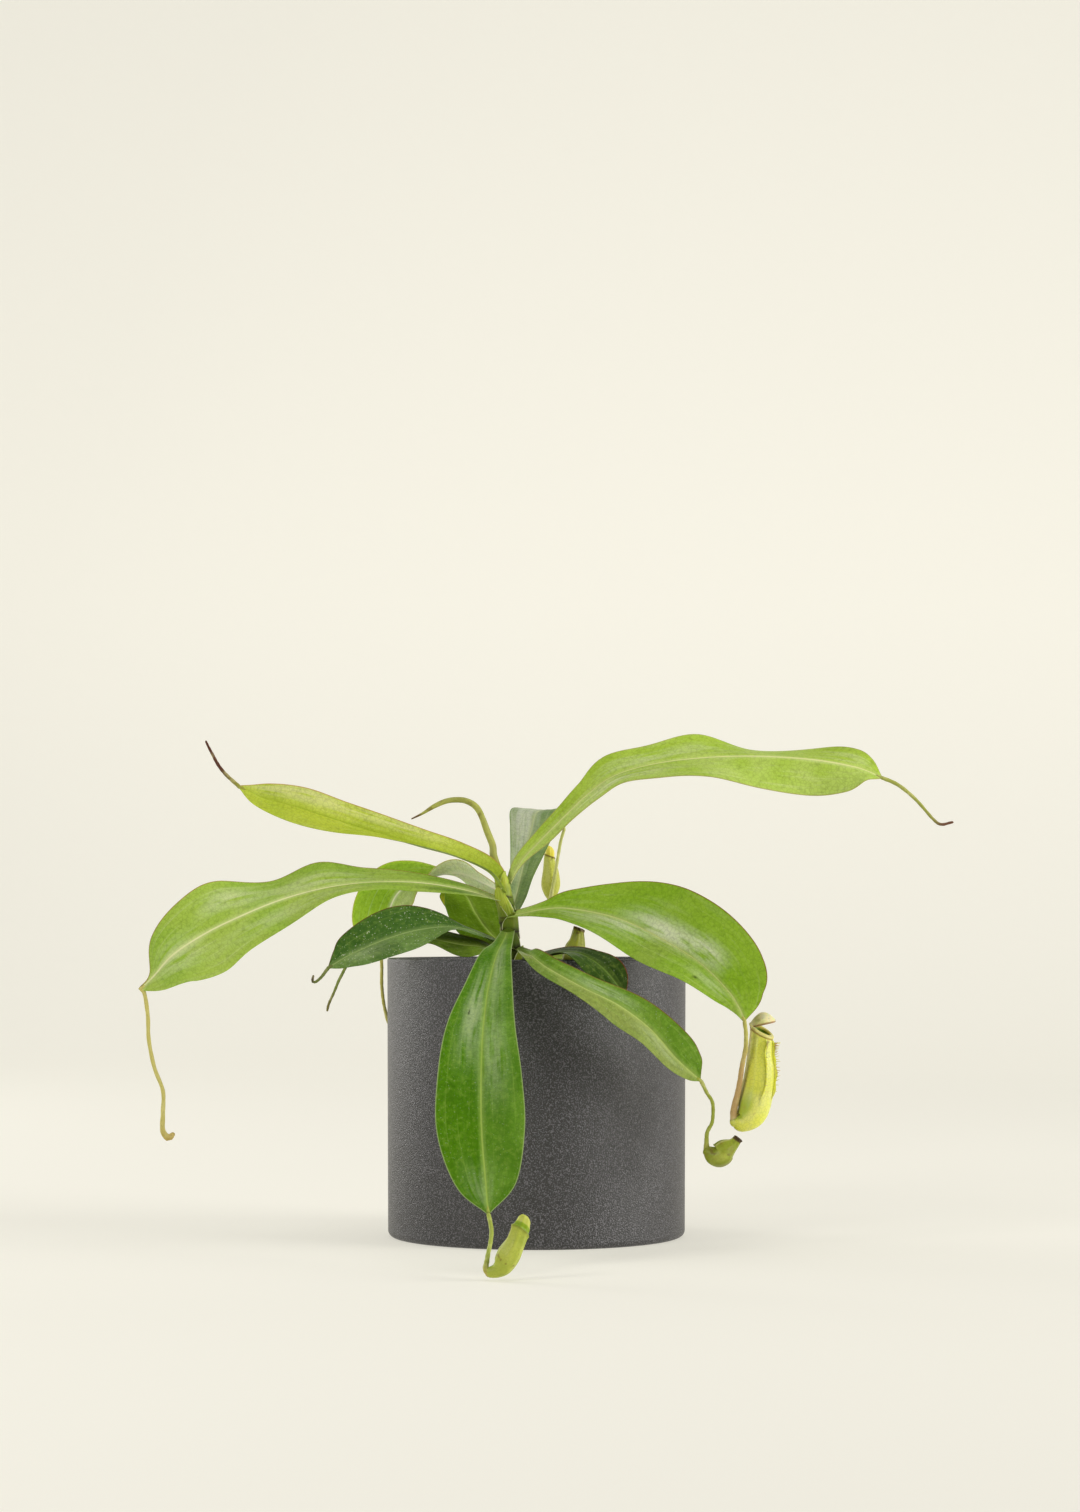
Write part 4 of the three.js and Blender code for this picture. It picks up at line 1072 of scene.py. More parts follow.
def hair_material():
    """The pale stiff hairs on a pitcher's wings: dry, a little see-through, and browner in places."""
    material, values = new_material("pitcher_wing_hair", 0.4, grains={"tint": (2, 1)},
                                    Subsurface_Weight=0.2, Subsurface_Scale=0.3 * MM)
    return paint(material, values, colour("d9dc9a", 1), [("c9a15e", 0.7, [("tint", 0.45, 0.6)])])


def stem_material():
    """Young stem bark: green under a thin brown skin, dull, and fresher towards the top."""
    material, values = new_material("stem_young_bark", 0.6, ["along"],
                                    {"patches": (4, 3), "fibres": (0.7, 3)}, Specular_IOR_Level=0.2)
    return paint(material, values, colour("404a18", 1), [
        ("5c741c", 0.9, [("patches", 0.42, 0.58)]),
        ("9fb034", 0.8, [("along", 0.55, 0.8)]),
        ("241c0e", 0.5, [("fibres", 0.52, 0.7)]),
    ], ("fibres", 0.3, 0.8))


def pot_material(tint):
    """Unglazed stoneware with a sanded slip: dull charcoal with a grit drawn about 0.6 mm wide, which
    scatters the side light into a broad pale band."""
    material, values = new_material("pot_matte_stoneware", 0.43, ior=1.5, Specular_IOR_Level=0.85,
                                    grains={"grit": (0.6, 2), "patches": (7, 3)})
    return paint(material, values, (*tint, 1), [
        ("6a686e", 0.85, [("grit", 0.5, 0.64)]),
        ("060506", 0.8, [("grit", 0.5, 0.34)]),
        ("302e31", 0.2, [("patches", 0.45, 0.65)]),
    ], ("grit", 0.4, 1.0))


def soil_material(tint):
    """Damp peat mix: dark, crumbly and without shine."""
    material, values = new_material("soil_damp_peat", 0.95, grains={"crumbs": (1.6, 4), "patches": (9, 2)},
                                    Specular_IOR_Level=0.25)
    return paint(material, values, (*tint, 1), [
        ("5a4230", 0.7, [("crumbs", 0.5, 0.72)]),
        ("120c08", 0.8, [("crumbs", 0.48, 0.3)]),
        ("4a3b22", 0.4, [("patches", 0.5, 0.65)]),
    ], ("crumbs", 1.0, 1.0))


def bit_material(name, base, light, roughness, depth):
    """A crumb of perlite or bark: one colour with lighter grains, and rough."""
    material, values = new_material(name, roughness, grains={"grain": (0.9, 3)})
    return paint(material, values, colour(base, 1), [(light, 0.8, [("grain", 0.45, 0.65)])],
                 ("grain", depth, 0.8))


# ---------------------------------------------------------------- the leaves

LEAF_COLUMNS = 34
LEAF_ROWS = 116
CROWDING = 1.3  # columns stand closer together towards the midrib, by this power
LEFT_EDGE_LEAD = 0.4  # how far the left edge's wave runs ahead of the right one's, in turns
RIPPLES = 3.3  # small ripples along the edge to each wave
RIPPLE_SHARE = 0.06
QUILT_DEPTH = 0.12
QUILT_RIBS = 4.5
TIP_HALF_WIDTH = 0.5
EDGE_THICKNESS = 0.45  # the margin's thickness as a share of the blade's
CORD_START = 0.965  # the share of a blade's length where its tendril starts, under the midrib


def right_hand(blade):
    """The right-hand direction of a blade, level and square to the way it heads."""
    first, last = blade["rows"][0], blade["rows"][-1]
    heading = math.atan2(last[1] - first[1], last[0] - first[0])
    if "heading" in blade:
        heading = math.radians(blade["heading"])
    return Vector((math.sin(heading), -math.cos(heading), 0))


def blade_frame(blade, share):
    """The midrib's point, side and up at a share of a blade's length, with the rest of the row there."""
    row = along(blade["rows"], share)
    direction = heading_along(blade["rows"], share)
    level = right_hand(blade)
    side = (level - direction * level.dot(direction)).normalized()
    return Vector(row[:3]), side, side.cross(direction), row[3:]


def blade_place(blade, sizes):
    """The place function of one leaf blade, for grid_surface."""
    height, count, phase = blade["wave"]
    frames = [blade_frame(blade, i / LEAF_ROWS) for i in range(LEAF_ROWS + 1)]
    runs = [0.0]
    for before, after in zip(frames, frames[1:]):
        runs.append(runs[-1] + (after[0] - before[0]).length)

    def place(grid_across, share):
        i = round(share * LEAF_ROWS)
        centre, side, up, (right, left, roll, fold) = frames[i]
        s = math.copysign(abs(grid_across) ** CROWDING, grid_across)
        roll, fold = math.radians(roll), math.radians(fold)
        across = side * math.cos(roll) + up * math.sin(roll)
        out = up * math.cos(roll) - side * math.sin(roll)
        width = max(TIP_HALF_WIDTH, right if s > 0 else left)
        turns = 2 * math.pi * (share * count + phase + (0 if s > 0 else LEFT_EDGE_LEAD))
        swell = math.sin(math.pi * share)
        wave = height * s * s * math.sin(turns) * swell
        ripple = RIPPLE_SHARE * height * abs(s) ** 3 * math.sin(turns * RIPPLES) * swell
        groove = sizes.rib_depth / MM * ridge(width * s, sizes.rib_width / MM) * smooth_step(0, 0.06, share)
        quilt = QUILT_DEPTH * math.sin(QUILT_RIBS * math.pi * abs(s)) * swell * min(1.0, width / 10)
        point = centre + across * (width * s * math.cos(fold))
        point += out * (width * abs(s) * math.sin(fold) + wave + ripple + quilt - groove)
        facts = {"across": s, "along": share, "rib": width * s, "edge": width * (1 - abs(s)),
                 "run": runs[i]}
        return point, facts

    return place


def build_leaf(name, sizes):
    """One leaf blade, thinnest at the margin, with its underside in the second slot."""
    look = LEAF_LOOKS[name]
    piece = grid_surface(name + "_skin", LEAF_COLUMNS, LEAF_ROWS, blade_place(BLADES[name], sizes))
    piece.data.materials.append(leaf_material(name + "_upper_wax", look))
    piece.data.materials.append(leaf_material(name + "_under_wax", look, underside=True))
    body = piece.vertex_groups.new(name="body")
    for index, edge in enumerate(piece.data.attributes["edge"].data):
        share = EDGE_THICKNESS + (1 - EDGE_THICKNESS) * smooth_step(0, 2.5, edge.value)
        body.add([index], share, "REPLACE")
    apply_modifier(piece, "SOLIDIFY", thickness=sizes.leaf_thickness, offset=0, use_even_offset=False,
                   vertex_group="body", material_offset=1)
    piece.vertex_groups.clear()
    return piece


def build_rolled_leaf():
    """The newest leaf: a rolled spike with the free edge of the roll as a winding seam."""
    frames = dome(ring_frames(ROLLED_LEAF, "rolled"), True, height=0.5, steps=3)
    frames = dome(frames, False, height=0.6, steps=3)
    seam_start, seam_twist = 4.0, 2.2

    def bulge(share, angle):
        from_seam = half_turn(angle - seam_start - seam_twist * share)
        seam = 0.15 * ridge(from_seam - 0.5, 0.25) - 0.35 * ridge(from_seam, 0.22)
        return seam * smooth_step(1.0, 0.85, share) + lobes(0.08, 2, angle, 14 * share)

    piece = tube("leaf_rolled_skin", frames, "rolled", bulge)
    piece.data.materials.append(pitcher_material("leaf_rolled_waxy_skin", ROLLED_LOOK, 0.1))
    return piece


# ---------------------------------------------------------------- the stem and its leaf bases

LEAF_BASE_COLUMNS = 30
LEAF_BASE_ROWS = 18
LEAF_BASE_THICKNESS = 0.35
STEM_STEPS = 400  # in which the stem is searched for a height
LEAST_STEM_RADIUS = 2.4  # a base clasps the thin top of the stem no closer than this
# Leaf bases that clasp the stem: the height of each, its length, the way it faces in degrees from +X
# towards +Y, half its wrap in degrees, its gap to the bark, how far its top stands out, and how bright
# it is.
LEAF_BASES = [
    (120, 9, -75, 118, 0.05, 0.1, 0.05),
    (126, 9, 150, 110, 0.05, 0.2, 0.1),
    (124.5, 11, -18, 65, 0.1, 1.6, 0.7),
    (131, 9, -168, 75, 0.1, 0.5, 0.2),
    (135, 8.5, -97, 88, 0.1, 0.5, 0.25),
    (139, 9, 90, 90, 0.05, 0.3, 0.15),
    (143, 7.5, -50, 90, 0.1, 0.7, 0.35),
    (147, 9, -160, 75, 0.1, 0.5, 0.4),
    (152, 8, 70, 90, 0.05, 0.2, 0.3),
    (159, 11, -30, 75, 0.1, 0.6, 0.75),
    (149.5, 13, -122, 85, 0.1, 0.5, 0.75),
]


def stem_row(z):
    """The lowest row of the stem's line that is at least this high, or its last."""
    for k in range(STEM_STEPS + 1):
        row = along(STEM, k / STEM_STEPS)
        if row[2] >= z:
            break
    return row


def leaf_base(name, height, length, angle, wrap, gap, flare, bright):
    """A leaf base that clasps the stem: a partial sleeve, open on the side away from its leaf."""
    rows = [stem_row(height + length * i / LEAF_BASE_ROWS) for i in range(LEAF_BASE_ROWS + 1)]

    def place(across, share):
        x, y, _, radius = rows[round(share * LEAF_BASE_ROWS)]
        turn = math.radians(angle + wrap * across * (1 - 0.45 * share * share))
        out = max(radius, LEAST_STEM_RADIUS) + gap + flare * share * share * (1 - 0.5 * abs(across))
        z = height + length * share * (1 - 0.3 * across * across) - 1.5 * (1 - share) * (1 - across * across)
        facts = {"across": across, "along": share, "edge": math.radians(wrap) * 4 * (1 - abs(across)),
                 "bright": bright}
        return (x + out * math.cos(turn), y + out * math.sin(turn), z), facts

    piece = grid_surface(name, LEAF_BASE_COLUMNS, LEAF_BASE_ROWS, place)
    apply_modifier(piece, "SOLIDIFY", thickness=LEAF_BASE_THICKNESS * MM, offset=1)
    return piece


def build_stem():
    """The stem, with the ring-shaped scars that old leaves leave."""
    frames = dome(ring_frames(STEM, "stem"), True, height=1.2, steps=4)
    frames = dome(frames, False, height=0.1, steps=1)
    scar_pairs = 9
    scar_height = 0.16

    def bulge(share, angle):
        scars = scar_height * math.sin(2 * math.pi * share * scar_pairs) ** 8
        return scars + lobes(0.12, 3, angle, 9 * share) + lobes(0.06, 7, angle, -20 * share)

    piece = tube("stem_bark", frames, "stem", bulge)
    piece.data.materials.append(stem_material())
    return piece


# ---------------------------------------------------------------- tendrils and young pitchers

def cord_rows(name):
    """A tendril's table after two rows more, one under its blade's midrib and one at the blade's tip, so
    that the two run together."""
    rows = OPEN_STALK if name == "pitcher_open_right" else TENDRILS[name]["stalk"]
    blade = BLADES[CARRIED_BY[name]]
    tip = blade["rows"][-1][:3]
    midrib, _, up, _ = blade_frame(blade, CORD_START)
    return [(*(midrib - 0.35 * up), 0.5), (*tip, 0.75), *rows]


def build_cord(name, sizes):
    """A tendril with rounded ends."""
    frames = ring_frames(cord_rows(name), "cord")
    for ring in frames:
        ring["radius"] *= sizes.tendril_width
    frames = dome(frames, True, height=frames[-1]["radius"] * 0.9, steps=4)
    frames = dome(frames, False, height=0.3, steps=2)

    def bulge(share, angle):
        return lobes(0.05, 3, angle, 30 * share) + lobes(0.05, 2, angle, 90 * share)

    piece = tube(name + "_cord", frames, "cord", bulge)
    piece.data.materials.append(tendril_material(name + "_thin_skin", TENDRIL_LOOKS[name]))
    return piece


def build_young_pitcher(name):
    """The body of a closed pitcher: ribs, two wings, a lid line and a domed or ragged end."""
    look = PITCHER_LOOKS[name]
    start = look["end_from"]
    frames = ring_frames(TENDRILS[name]["body"], "young")
    for ring in frames:
        ring["slant"] = smooth_step(start - 0.25, start, ring["along"])
    frames = dome(frames, True, height=frames[-1]["radius"] * look["dome"], steps=6)
    frames = dome(frames, False, height=frames[0]["radius"] * 0.6, steps=5)
    rib_height, ribs = 0.12, 8
    wing_height, wing_width = 0.8, 0.13  # mm, and radians round the pitcher
    lip_width, lip_to_groove = 0.02, 0.045  # shares of the pitcher's length

    def bulge(share, angle):
        out = rib_height * math.cos(ribs * angle) * smooth_step(0.1, 0.4, share)
        out += look["lip"] * ridge(share - start, lip_width)
        out -= look["lip"] * ridge(share - start - lip_to_groove, lip_width) / 2
        wings = 0.0
        for wing in look["wings"]:
            from_wing = half_turn(angle - wing)
            wings += wing_height * ridge(from_wing, wing_width) * smooth_step(0.15, 0.4, share)
            wings *= smooth_step(1.0, 0.8, share)
        if not look["lip"]:
            ragged = lobes(0.4, 5, angle, 3) + lobes(0.3, 9, angle, 40 * share)
            out += ragged * smooth_step(start - 0.05, 1, share)
        return out + wings

    piece = tube(name + "_wall", frames, "young", bulge, look["slant"])
    piece.data.materials.append(pitcher_material(name + "_waxy_wall", look))
    return piece


# ---------------------------------------------------------------- the open pitcher

LIP_SWEEP = (-80, 215)  # degrees of the lip's roll, from under its outside over to the inside
LIP_SIZE = 0.75
LIP_STEPS = 14
LIP_ALONG = 1.05  # what the lip says for its place along the pitcher, beyond the wall's own 1
HOLLOW_START = 0.3  # the share of the pitcher's length where its hollow starts
FLOOR_DEPTH = 2.5  # how far the hollow's rounded floor reaches below that
FLOOR_STEPS = 4
WING_COLUMNS = 6
WING_ROWS_ALONG = 60
WING_ROOT = 0.5  # how deep a wing starts in the wall
WING_THICKNESS = 0.28
WING_ROWS = OPEN_BODY[2:]
WING_SPAN = (0.02, 0.95)  # the shares of those rows between which a wing runs
HAIRS = 26
HAIR_SPAN = (0.2, 0.96)  # the shares of a wing between which the hairs stand
HAIR_RADII = (0.2, 0.08)
HAIR_ROOT = 0.2  # how deep a hair starts in its wing
LID_COLUMNS = 30
LID_ROWS = 36
LID_THICKNESS = 0.7
LID_GAP = 0.4  # how far the whole lid is raised above its hinge


def open_pitcher_rings():
    """One skin: up the outside, over the rolled lip and down the inside to the floor of the hollow."""
    wall = ring_frames(OPEN_BODY, "open")
    for ring in wall:
        ring["slant"] = smooth_step(0.7, 1.0, ring["along"])
    top = wall[-1]
    rings = dome(wall, False, height=2.0, steps=6)
    middle = top["radius"] - OPEN_WALL / 2
    for k in range(1, LIP_STEPS + 1):
        turn = math.radians(LIP_SWEEP[0] + (LIP_SWEEP[1] - LIP_SWEEP[0]) * k / LIP_STEPS)
        rise = Vector((0, 0, LIP_SIZE * math.sin(turn) + LIP_SIZE))
        rings.append({**top, "centre": top["centre"] + rise, "along": LIP_ALONG,
                      "radius": middle + LIP_SIZE * math.cos(turn) + 0.15})
    for ring in reversed(wall):
        if ring["along"] > HOLLOW_START:
            rings.append({**ring, "radius": ring["radius"] - OPEN_WALL, "inner": 1.0})
    floor = rings[-1]
    for k in range(1, FLOOR_STEPS + 1):
        turn = math.pi / 2 * k / FLOOR_STEPS
        rings.append({**floor, "centre": floor["centre"] - floor["ahead"] * FLOOR_DEPTH * math.sin(turn),
                      "radius": floor["radius"] * max(0.0, math.cos(turn))})
    return rings


def open_pitcher_ribs(share, angle):
    """Faint ribs all round the wall, and none on the lip."""
    rib_height, ribs = 0.1, 10
    ribbed = smooth_step(0.15, 0.5, share) * smooth_step(1.0, 0.9, share)
    return rib_height * math.cos(ribs * angle) * ribbed


def by_the_wall(share, turn, out, sway=0.0):
    """A point that stands out from the open pitcher's wall, in the direction of turn and aside by sway,
    at a share of a wing's length. Near the mouth it drops with the mouth's slant."""
    x, y, z, radius = along(WING_ROWS, WING_SPAN[0] + (WING_SPAN[1] - WING_SPAN[0]) * share)
    right = (radius + out) * math.cos(turn) - sway * math.sin(turn)
    back = -(radius + out) * math.sin(turn) - sway * math.cos(turn)
    drop = smooth_step(0.6, 1.0, share) * (OPEN_SLANT[0] * right + OPEN_SLANT[1] * back)
    return Vector((x + right, y + back, z - drop))


def open_wing(name, angle, proud):
    """One thin wavy wing down the front of the open pitcher, in line with the wing of the plain model."""

    def place(across, share):
        rise = (across + 1) / 2
        turn = angle + 0.05 * math.sin(13 * share)
        swell = smooth_step(0, 0.18, share) * (0.75 + 0.25 * smooth_step(1.0, 0.8, share))
        out = (proud + WING_ROOT + 0.25 * math.sin(37 * share)) * rise * swell - WING_ROOT
        sway = 0.35 * rise * math.sin(23 * share + 4 * angle)
        return by_the_wall(share, turn, out, sway), {"along": 0.35 + 0.5 * share, "around": rise,
                                                     "inner": 0.0}

    wing = grid_surface(name, WING_COLUMNS, WING_ROWS_ALONG, place)
    apply_modifier(wing, "SOLIDIFY", thickness=WING_THICKNESS * MM, offset=0)
    return wing


def wing_hairs(angle, proud, length, seed):
    """Stiff hairs along a wing's edge: thin four-sided cones, longest and densest in the upper part."""
    hairs = []
    noise.seed_set(seed)
    for k in range(HAIRS):
        share = HAIR_SPAN[0] + (HAIR_SPAN[1] - HAIR_SPAN[0]) * (k / (HAIRS - 1)) ** 0.75
        wild = noise.random_unit_vector(size=3)
        ahead = Vector((math.cos(angle), -math.sin(angle), 0.15)) + wild * 0.35
        ahead.normalize()
        size = length * (0.6 + 0.5 * abs(wild.x)) * (0.55 + 0.45 * share)
        middle = by_the_wall(share, angle, proud * 0.95) + ahead * (size / 2 - HAIR_ROOT)
        bpy.ops.mesh.primitive_cone_add(vertices=4, radius1=HAIR_RADII[0] * MM, radius2=HAIR_RADII[1] * MM,
                                        depth=size * MM, location=middle * MM,
                                        rotation=ahead.to_track_quat("Z", "Y").to_euler())
        hairs.append(bpy.context.object)
    return hairs


def build_lid():
    """The open pitcher's lid: a domed leaf with a thin edge, hinged at the back of the mouth."""
    hinge = Vector(LID["hinge"])

    def place(across, share):
        half = LID["half_width"] * math.sqrt(max(0.0, math.sin(math.pi * (0.06 + 0.9 * share))))
        arch = math.sin(math.pi * (0.08 + 0.86 * share))
        high = arch * (LID["rise"] * (1 - LID["side_drop"] * across * across) + LID["tilt"] * across)
        vein = 0.12 * ridge(across * half, 0.5) - 0.06 * math.cos(9 * across) ** 2
        point = hinge + Vector((LID["length"] * share, LID["sway"] * share + half * across,
                                LID["lift"] * share + high + LID_GAP + vein))
        return point, {"edge": min(half * (1 - abs(across)), LID["length"] * (1 - share) + 0.2)}

    piece = grid_surface("lid", LID_COLUMNS, LID_ROWS, place)
    apply_modifier(piece, "SOLIDIFY", thickness=LID_THICKNESS * MM, offset=0)
    return piece


# ---------------------------------------------------------------- pot and soil

POT_SIDES = 192
ROUNDING_STEPS = 6
FOOT_SHARE = 69.3 / 70  # the pot is that much narrower at its foot
FOOT_ROUND = 0.003  # metres, as the pot's other sizes are
LEVEL = 0.0001  # metres: edges within this height of the rim or the foot lie in it
SOIL_SQUARES = 120
SOIL_LEVEL = 116  # mm above the floor, where the peat meets the pot's wall
MOUND = 2.3
BITS_REACH = 60
STEM_FOOT = Vector((-11.5, -15))
STEM_CLEARANCE = 8


def build_pot(sizes):
    """The pot from one cylinder: foot drawn in a little, opened at the top, rim and foot rounded."""
    height = POT_HIGH.z - POT_LOW.z
    deselect()
    bpy.ops.mesh.primitive_cylinder_add(vertices=POT_SIDES, radius=POT_HIGH.x, depth=height,
                                        location=(0, 0, POT_LOW.z + height / 2))
    piece = name_active("pot_shell")
    bpy.ops.object.transform_apply(location=True)
    mesh = piece.data
    for vertex in mesh.vertices:
        vertex.select = vertex.co.z > POT_LOW.z + height / 2
        if not vertex.select:
            vertex.co.x *= FOOT_SHARE
            vertex.co.y *= FOOT_SHARE
    for edge in mesh.edges:
        edge.select = False
    for polygon in mesh.polygons:
        polygon.select = polygon.normal.z > 0.9
    bpy.ops.object.mode_set(mode="EDIT")
    bpy.ops.mesh.select_mode(type="FACE")
    bpy.ops.mesh.inset(thickness=sizes.pot_wall)
    bpy.ops.mesh.extrude_region_move(TRANSFORM_OT_translate={"value": (0, 0, sizes.pot_floor - height)})
    bpy.ops.object.mode_set(mode="OBJECT")
    weights = piece.data.attributes.new("bevel_weight_edge", "FLOAT", "EDGE")
    for edge in piece.data.edges:
        low, high = sorted(piece.data.vertices[i].co.z for i in edge.vertices)
        if low > POT_HIGH.z - LEVEL:
            weights.data[edge.index].value = sizes.rim_round / FOOT_ROUND
        elif high < POT_LOW.z + LEVEL:
            weights.data[edge.index].value = 1.0
    apply_modifier(piece, "BEVEL", width=FOOT_ROUND, segments=ROUNDING_STEPS, limit_method="WEIGHT",
                   harden_normals=False)
    return piece


def soil_top(x, y):
    """The height of the peat in mm: mounded in the middle, with clods and crumbs."""
    share = min(1.0, math.hypot(x, y) / (SOIL_HIGH.x / MM))
    clods = 0.9 * noise.noise(Vector((x, y, 0)) * 0.09) + 0.5 * noise.noise(Vector((x, y, 4)) * 0.35)
    crumbs = 0.25 * noise.noise(Vector((x, y, 9)) * 1.1)
    return SOIL_LEVEL + MOUND * (1 - share * share) + (clods + crumbs) * smooth_step(1.0, 0.9, share)


def build_soil():
    """The peat: a lumpy top carried down to the pot's floor."""
    edge = SOIL_HIGH.x / MM

    def place(across, share):
        x, y = across, 2 * share - 1
        # the square grid pressed into a disc
        u = x * math.sqrt(1 - y * y / 2) * edge
        v = y * math.sqrt(1 - x * x / 2) * edge
        return (u, v, soil_top(u, v)), {}

    piece = grid_surface("peat_top", SOIL_SQUARES, SOIL_SQUARES, place)
    pick(piece)
    bpy.ops.object.mode_set(mode="EDIT")
    bpy.ops.mesh.select_all(action="SELECT")
    bpy.ops.mesh.extrude_region_move(TRANSFORM_OT_translate={"value": (0, 0, -0.1)})
    bpy.ops.object.mode_set(mode="OBJECT")
    for vertex in piece.data.vertices:
        if vertex.select:
            vertex.co.z = SOIL_LOW.z
    return piece


def lump(point, size, turn, squash):
    """One lump: an icosphere pressed flat by squash and pushed about by noise."""
    bpy.ops.mesh.primitive_ico_sphere_add(subdivisions=3, radius=size * MM, location=point * MM,
                                          rotation=(turn, turn * 1.7, turn * 2.3))
    piece = bpy.context.object
    piece.scale = (1, 1 - 0.3 * squash, 1 - 0.5 * squash)
    for vertex in piece.data.vertices:
        vertex.co *= 1 + 0.4 * noise.noise(vertex.co * (900 / size) + point * 3)
    return piece


def build_top_bits(kind, count, seed, scale, squash):
    """Bits that lie in the peat: how many, how large and how flat they are. None lies by the stem."""
    noise.seed_set(seed)
    bits = []
    for _ in range(count):
        turn = 2 * math.pi * noise.random()
        reach = BITS_REACH * math.sqrt(noise.random())
        size = (0.8 + 1.4 * noise.random()) * scale
        x, y = reach * math.cos(turn), reach * math.sin(turn)
        if (Vector((x, y)) - STEM_FOOT).length >= STEM_CLEARANCE:
            bits.append(lump(Vector((x, y, soil_top(x, y) + 0.1 * size)), size, turn, squash))
    return join(bits, "soil_" + kind)


# ---------------------------------------------------------------- the stage

BACKDROP_HALF_WIDTH = 2600
BACKDROP_FRONT = -1800  # where the floor starts, behind the viewer
BACKDROP_FLAT = 3500  # how far the floor runs back before it bends up
BACKDROP_BEND = 500
BACKDROP_LENGTH = 5600  # floor, bend and wall together
BACKDROP_ROWS = 56
GLOW_FROM = -0.3  # metres towards the wall, between which the floor's glow turns into the wall's
GLOW_TO = 2.2
LIGHT_AIM = (0, 0, 0.12)
LIGHT_TINT = "fffdf8"
# Each lamp's place and the size of its square, in metres.
LAMPS = {
    "right": ((1.86, -0.55, 0.62), 1.1),
    "left": ((-1.4, 0.9, 0.6), 0.7),
    "front": ((-0.95, -1.0, 0.75), 0.4),
    "top": ((0.0, 0.0, 1.35), 1.0),
}
CAMERA_PLACE = (0.00165, -1.5, 0.1477)
CAMERA_TILT = 92.93  # degrees from straight down, so that it looks up a little
CAMERA_LENS = 75.88  # mm, with a sensor as wide as the next
CAMERA_SENSOR = 36


def stage_backdrop(colours, lights):
    """A pale floor that rises into a wall behind with one wide curve."""

    def place(across, share):
        run = BACKDROP_LENGTH * share
        turn = min(max(0.0, run - BACKDROP_FLAT) / BACKDROP_BEND, math.pi / 2)
        wall = max(0.0, run - BACKDROP_FLAT - BACKDROP_BEND * math.pi / 2)
        y = BACKDROP_FRONT + min(run, BACKDROP_FLAT) + BACKDROP_BEND * math.sin(turn)
        return (BACKDROP_HALF_WIDTH * across, y, BACKDROP_BEND * (1 - math.cos(turn)) + wall), {}

    piece = grid_surface("backdrop", 2, BACKDROP_ROWS, place)
    pick(piece)
    bpy.ops.object.shade_smooth()
    material, values = new_material("backdrop_matte_paper", 0.9, Specular_IOR_Level=0.1,
                                    Base_Color=(*colours.paper, 1), Emission_Color=colour("fffcef", 1))
    tree = material.node_tree
    depth = add_node(tree, "ShaderNodeSeparateXYZ", {"Vector": values["place"]}).outputs["Y"]
    glow = add_node(tree, "ShaderNodeMapRange", {"Value": depth, "From Min": GLOW_FROM, "From Max": GLOW_TO,
                                                 "To Min": lights.floor_glow, "To Max": lights.wall_glow})
    tree.links.new(glow.outputs["Result"], tree.nodes["Principled BSDF"].inputs["Emission Strength"])
    piece.data.materials.append(material)


def stage_light(name, location, size, power):
    """One square soft light, turned towards the middle of the plant."""
    deselect()
    turn = (Vector(LIGHT_AIM) - Vector(location)).to_track_quat("-Z", "Y").to_euler()
    bpy.ops.object.light_add(type="AREA", location=location, rotation=turn)
    lamp = bpy.context.object
    lamp.name = name
    lamp.data.size = size
    lamp.data.energy = power
    lamp.data.color = colour(LIGHT_TINT)


def stage_world(strength):
    """The soft light that comes from all round."""
    world = bpy.data.worlds.new("soft_light")
    world.use_nodes = True
    background = world.node_tree.nodes["Background"]
    background.inputs["Color"].default_value = colour("fffef9", 1)
    background.inputs["Strength"].default_value = strength
    bpy.context.scene.world = world
    bpy.context.scene.view_settings.view_transform = "Standard"


def stage_camera():
    """The camera at the photograph's angle, a little above the rim and in front of the pot's middle."""
    deselect()
    bpy.ops.object.camera_add(location=CAMERA_PLACE, rotation=(math.radians(CAMERA_TILT), 0, 0))
    camera = bpy.context.object
    camera.name = "camera"
    camera.data.lens = CAMERA_LENS
    camera.data.sensor_width = CAMERA_SENSOR
    bpy.context.scene.camera = camera


# ---------------------------------------------------------------- settings a user would change

class PlantSizes(bpy.types.PropertyGroup):
    """Sizes that a user would change, in metres"""
    leaf_thickness: FloatProperty(
        name="Leaf thickness", description="Thickness of a blade beside its midrib",
        default=0.0006, min=0.0002, max=0.001, unit="LENGTH")
    rib_depth: FloatProperty(
        name="Midrib depth", description="How far the midrib is sunk in the upper side",
        default=0.00035, min=0.0, max=0.0008, unit="LENGTH")
    rib_width: FloatProperty(
        name="Midrib width", description="Half the width of the sunk midrib",
        default=0.0008, min=0.0003, max=0.002, unit="LENGTH")
    tendril_width: FloatProperty(
        name="Tendril width", description="Width of the tendrils as a share of the model's",
        default=1.0, min=0.6, max=1.2, subtype="FACTOR")
    hair_length: FloatProperty(
        name="Hair length", description="Length of the longest hairs on the pitcher's wings",
        default=0.0028, min=0.0005, max=0.004, unit="LENGTH")
    wing_height: FloatProperty(
        name="Wing height", description="How far the wings stand out from the pitcher",
        default=0.0011, min=0.0005, max=0.003, unit="LENGTH")
    pot_wall: FloatProperty(
        name="Pot wall", description="Thickness of the pot's wall",
        default=0.0045, min=0.003, max=0.004501, unit="LENGTH")
    pot_floor: FloatProperty(
        name="Pot floor", description="Thickness of the pot's floor",
        default=0.006, min=0.003, max=0.006, unit="LENGTH")
    rim_round: FloatProperty(
        name="Rim rounding", description="Radius of the rounded edges of the rim",
        default=0.001, min=0.0003, max=0.002, unit="LENGTH")


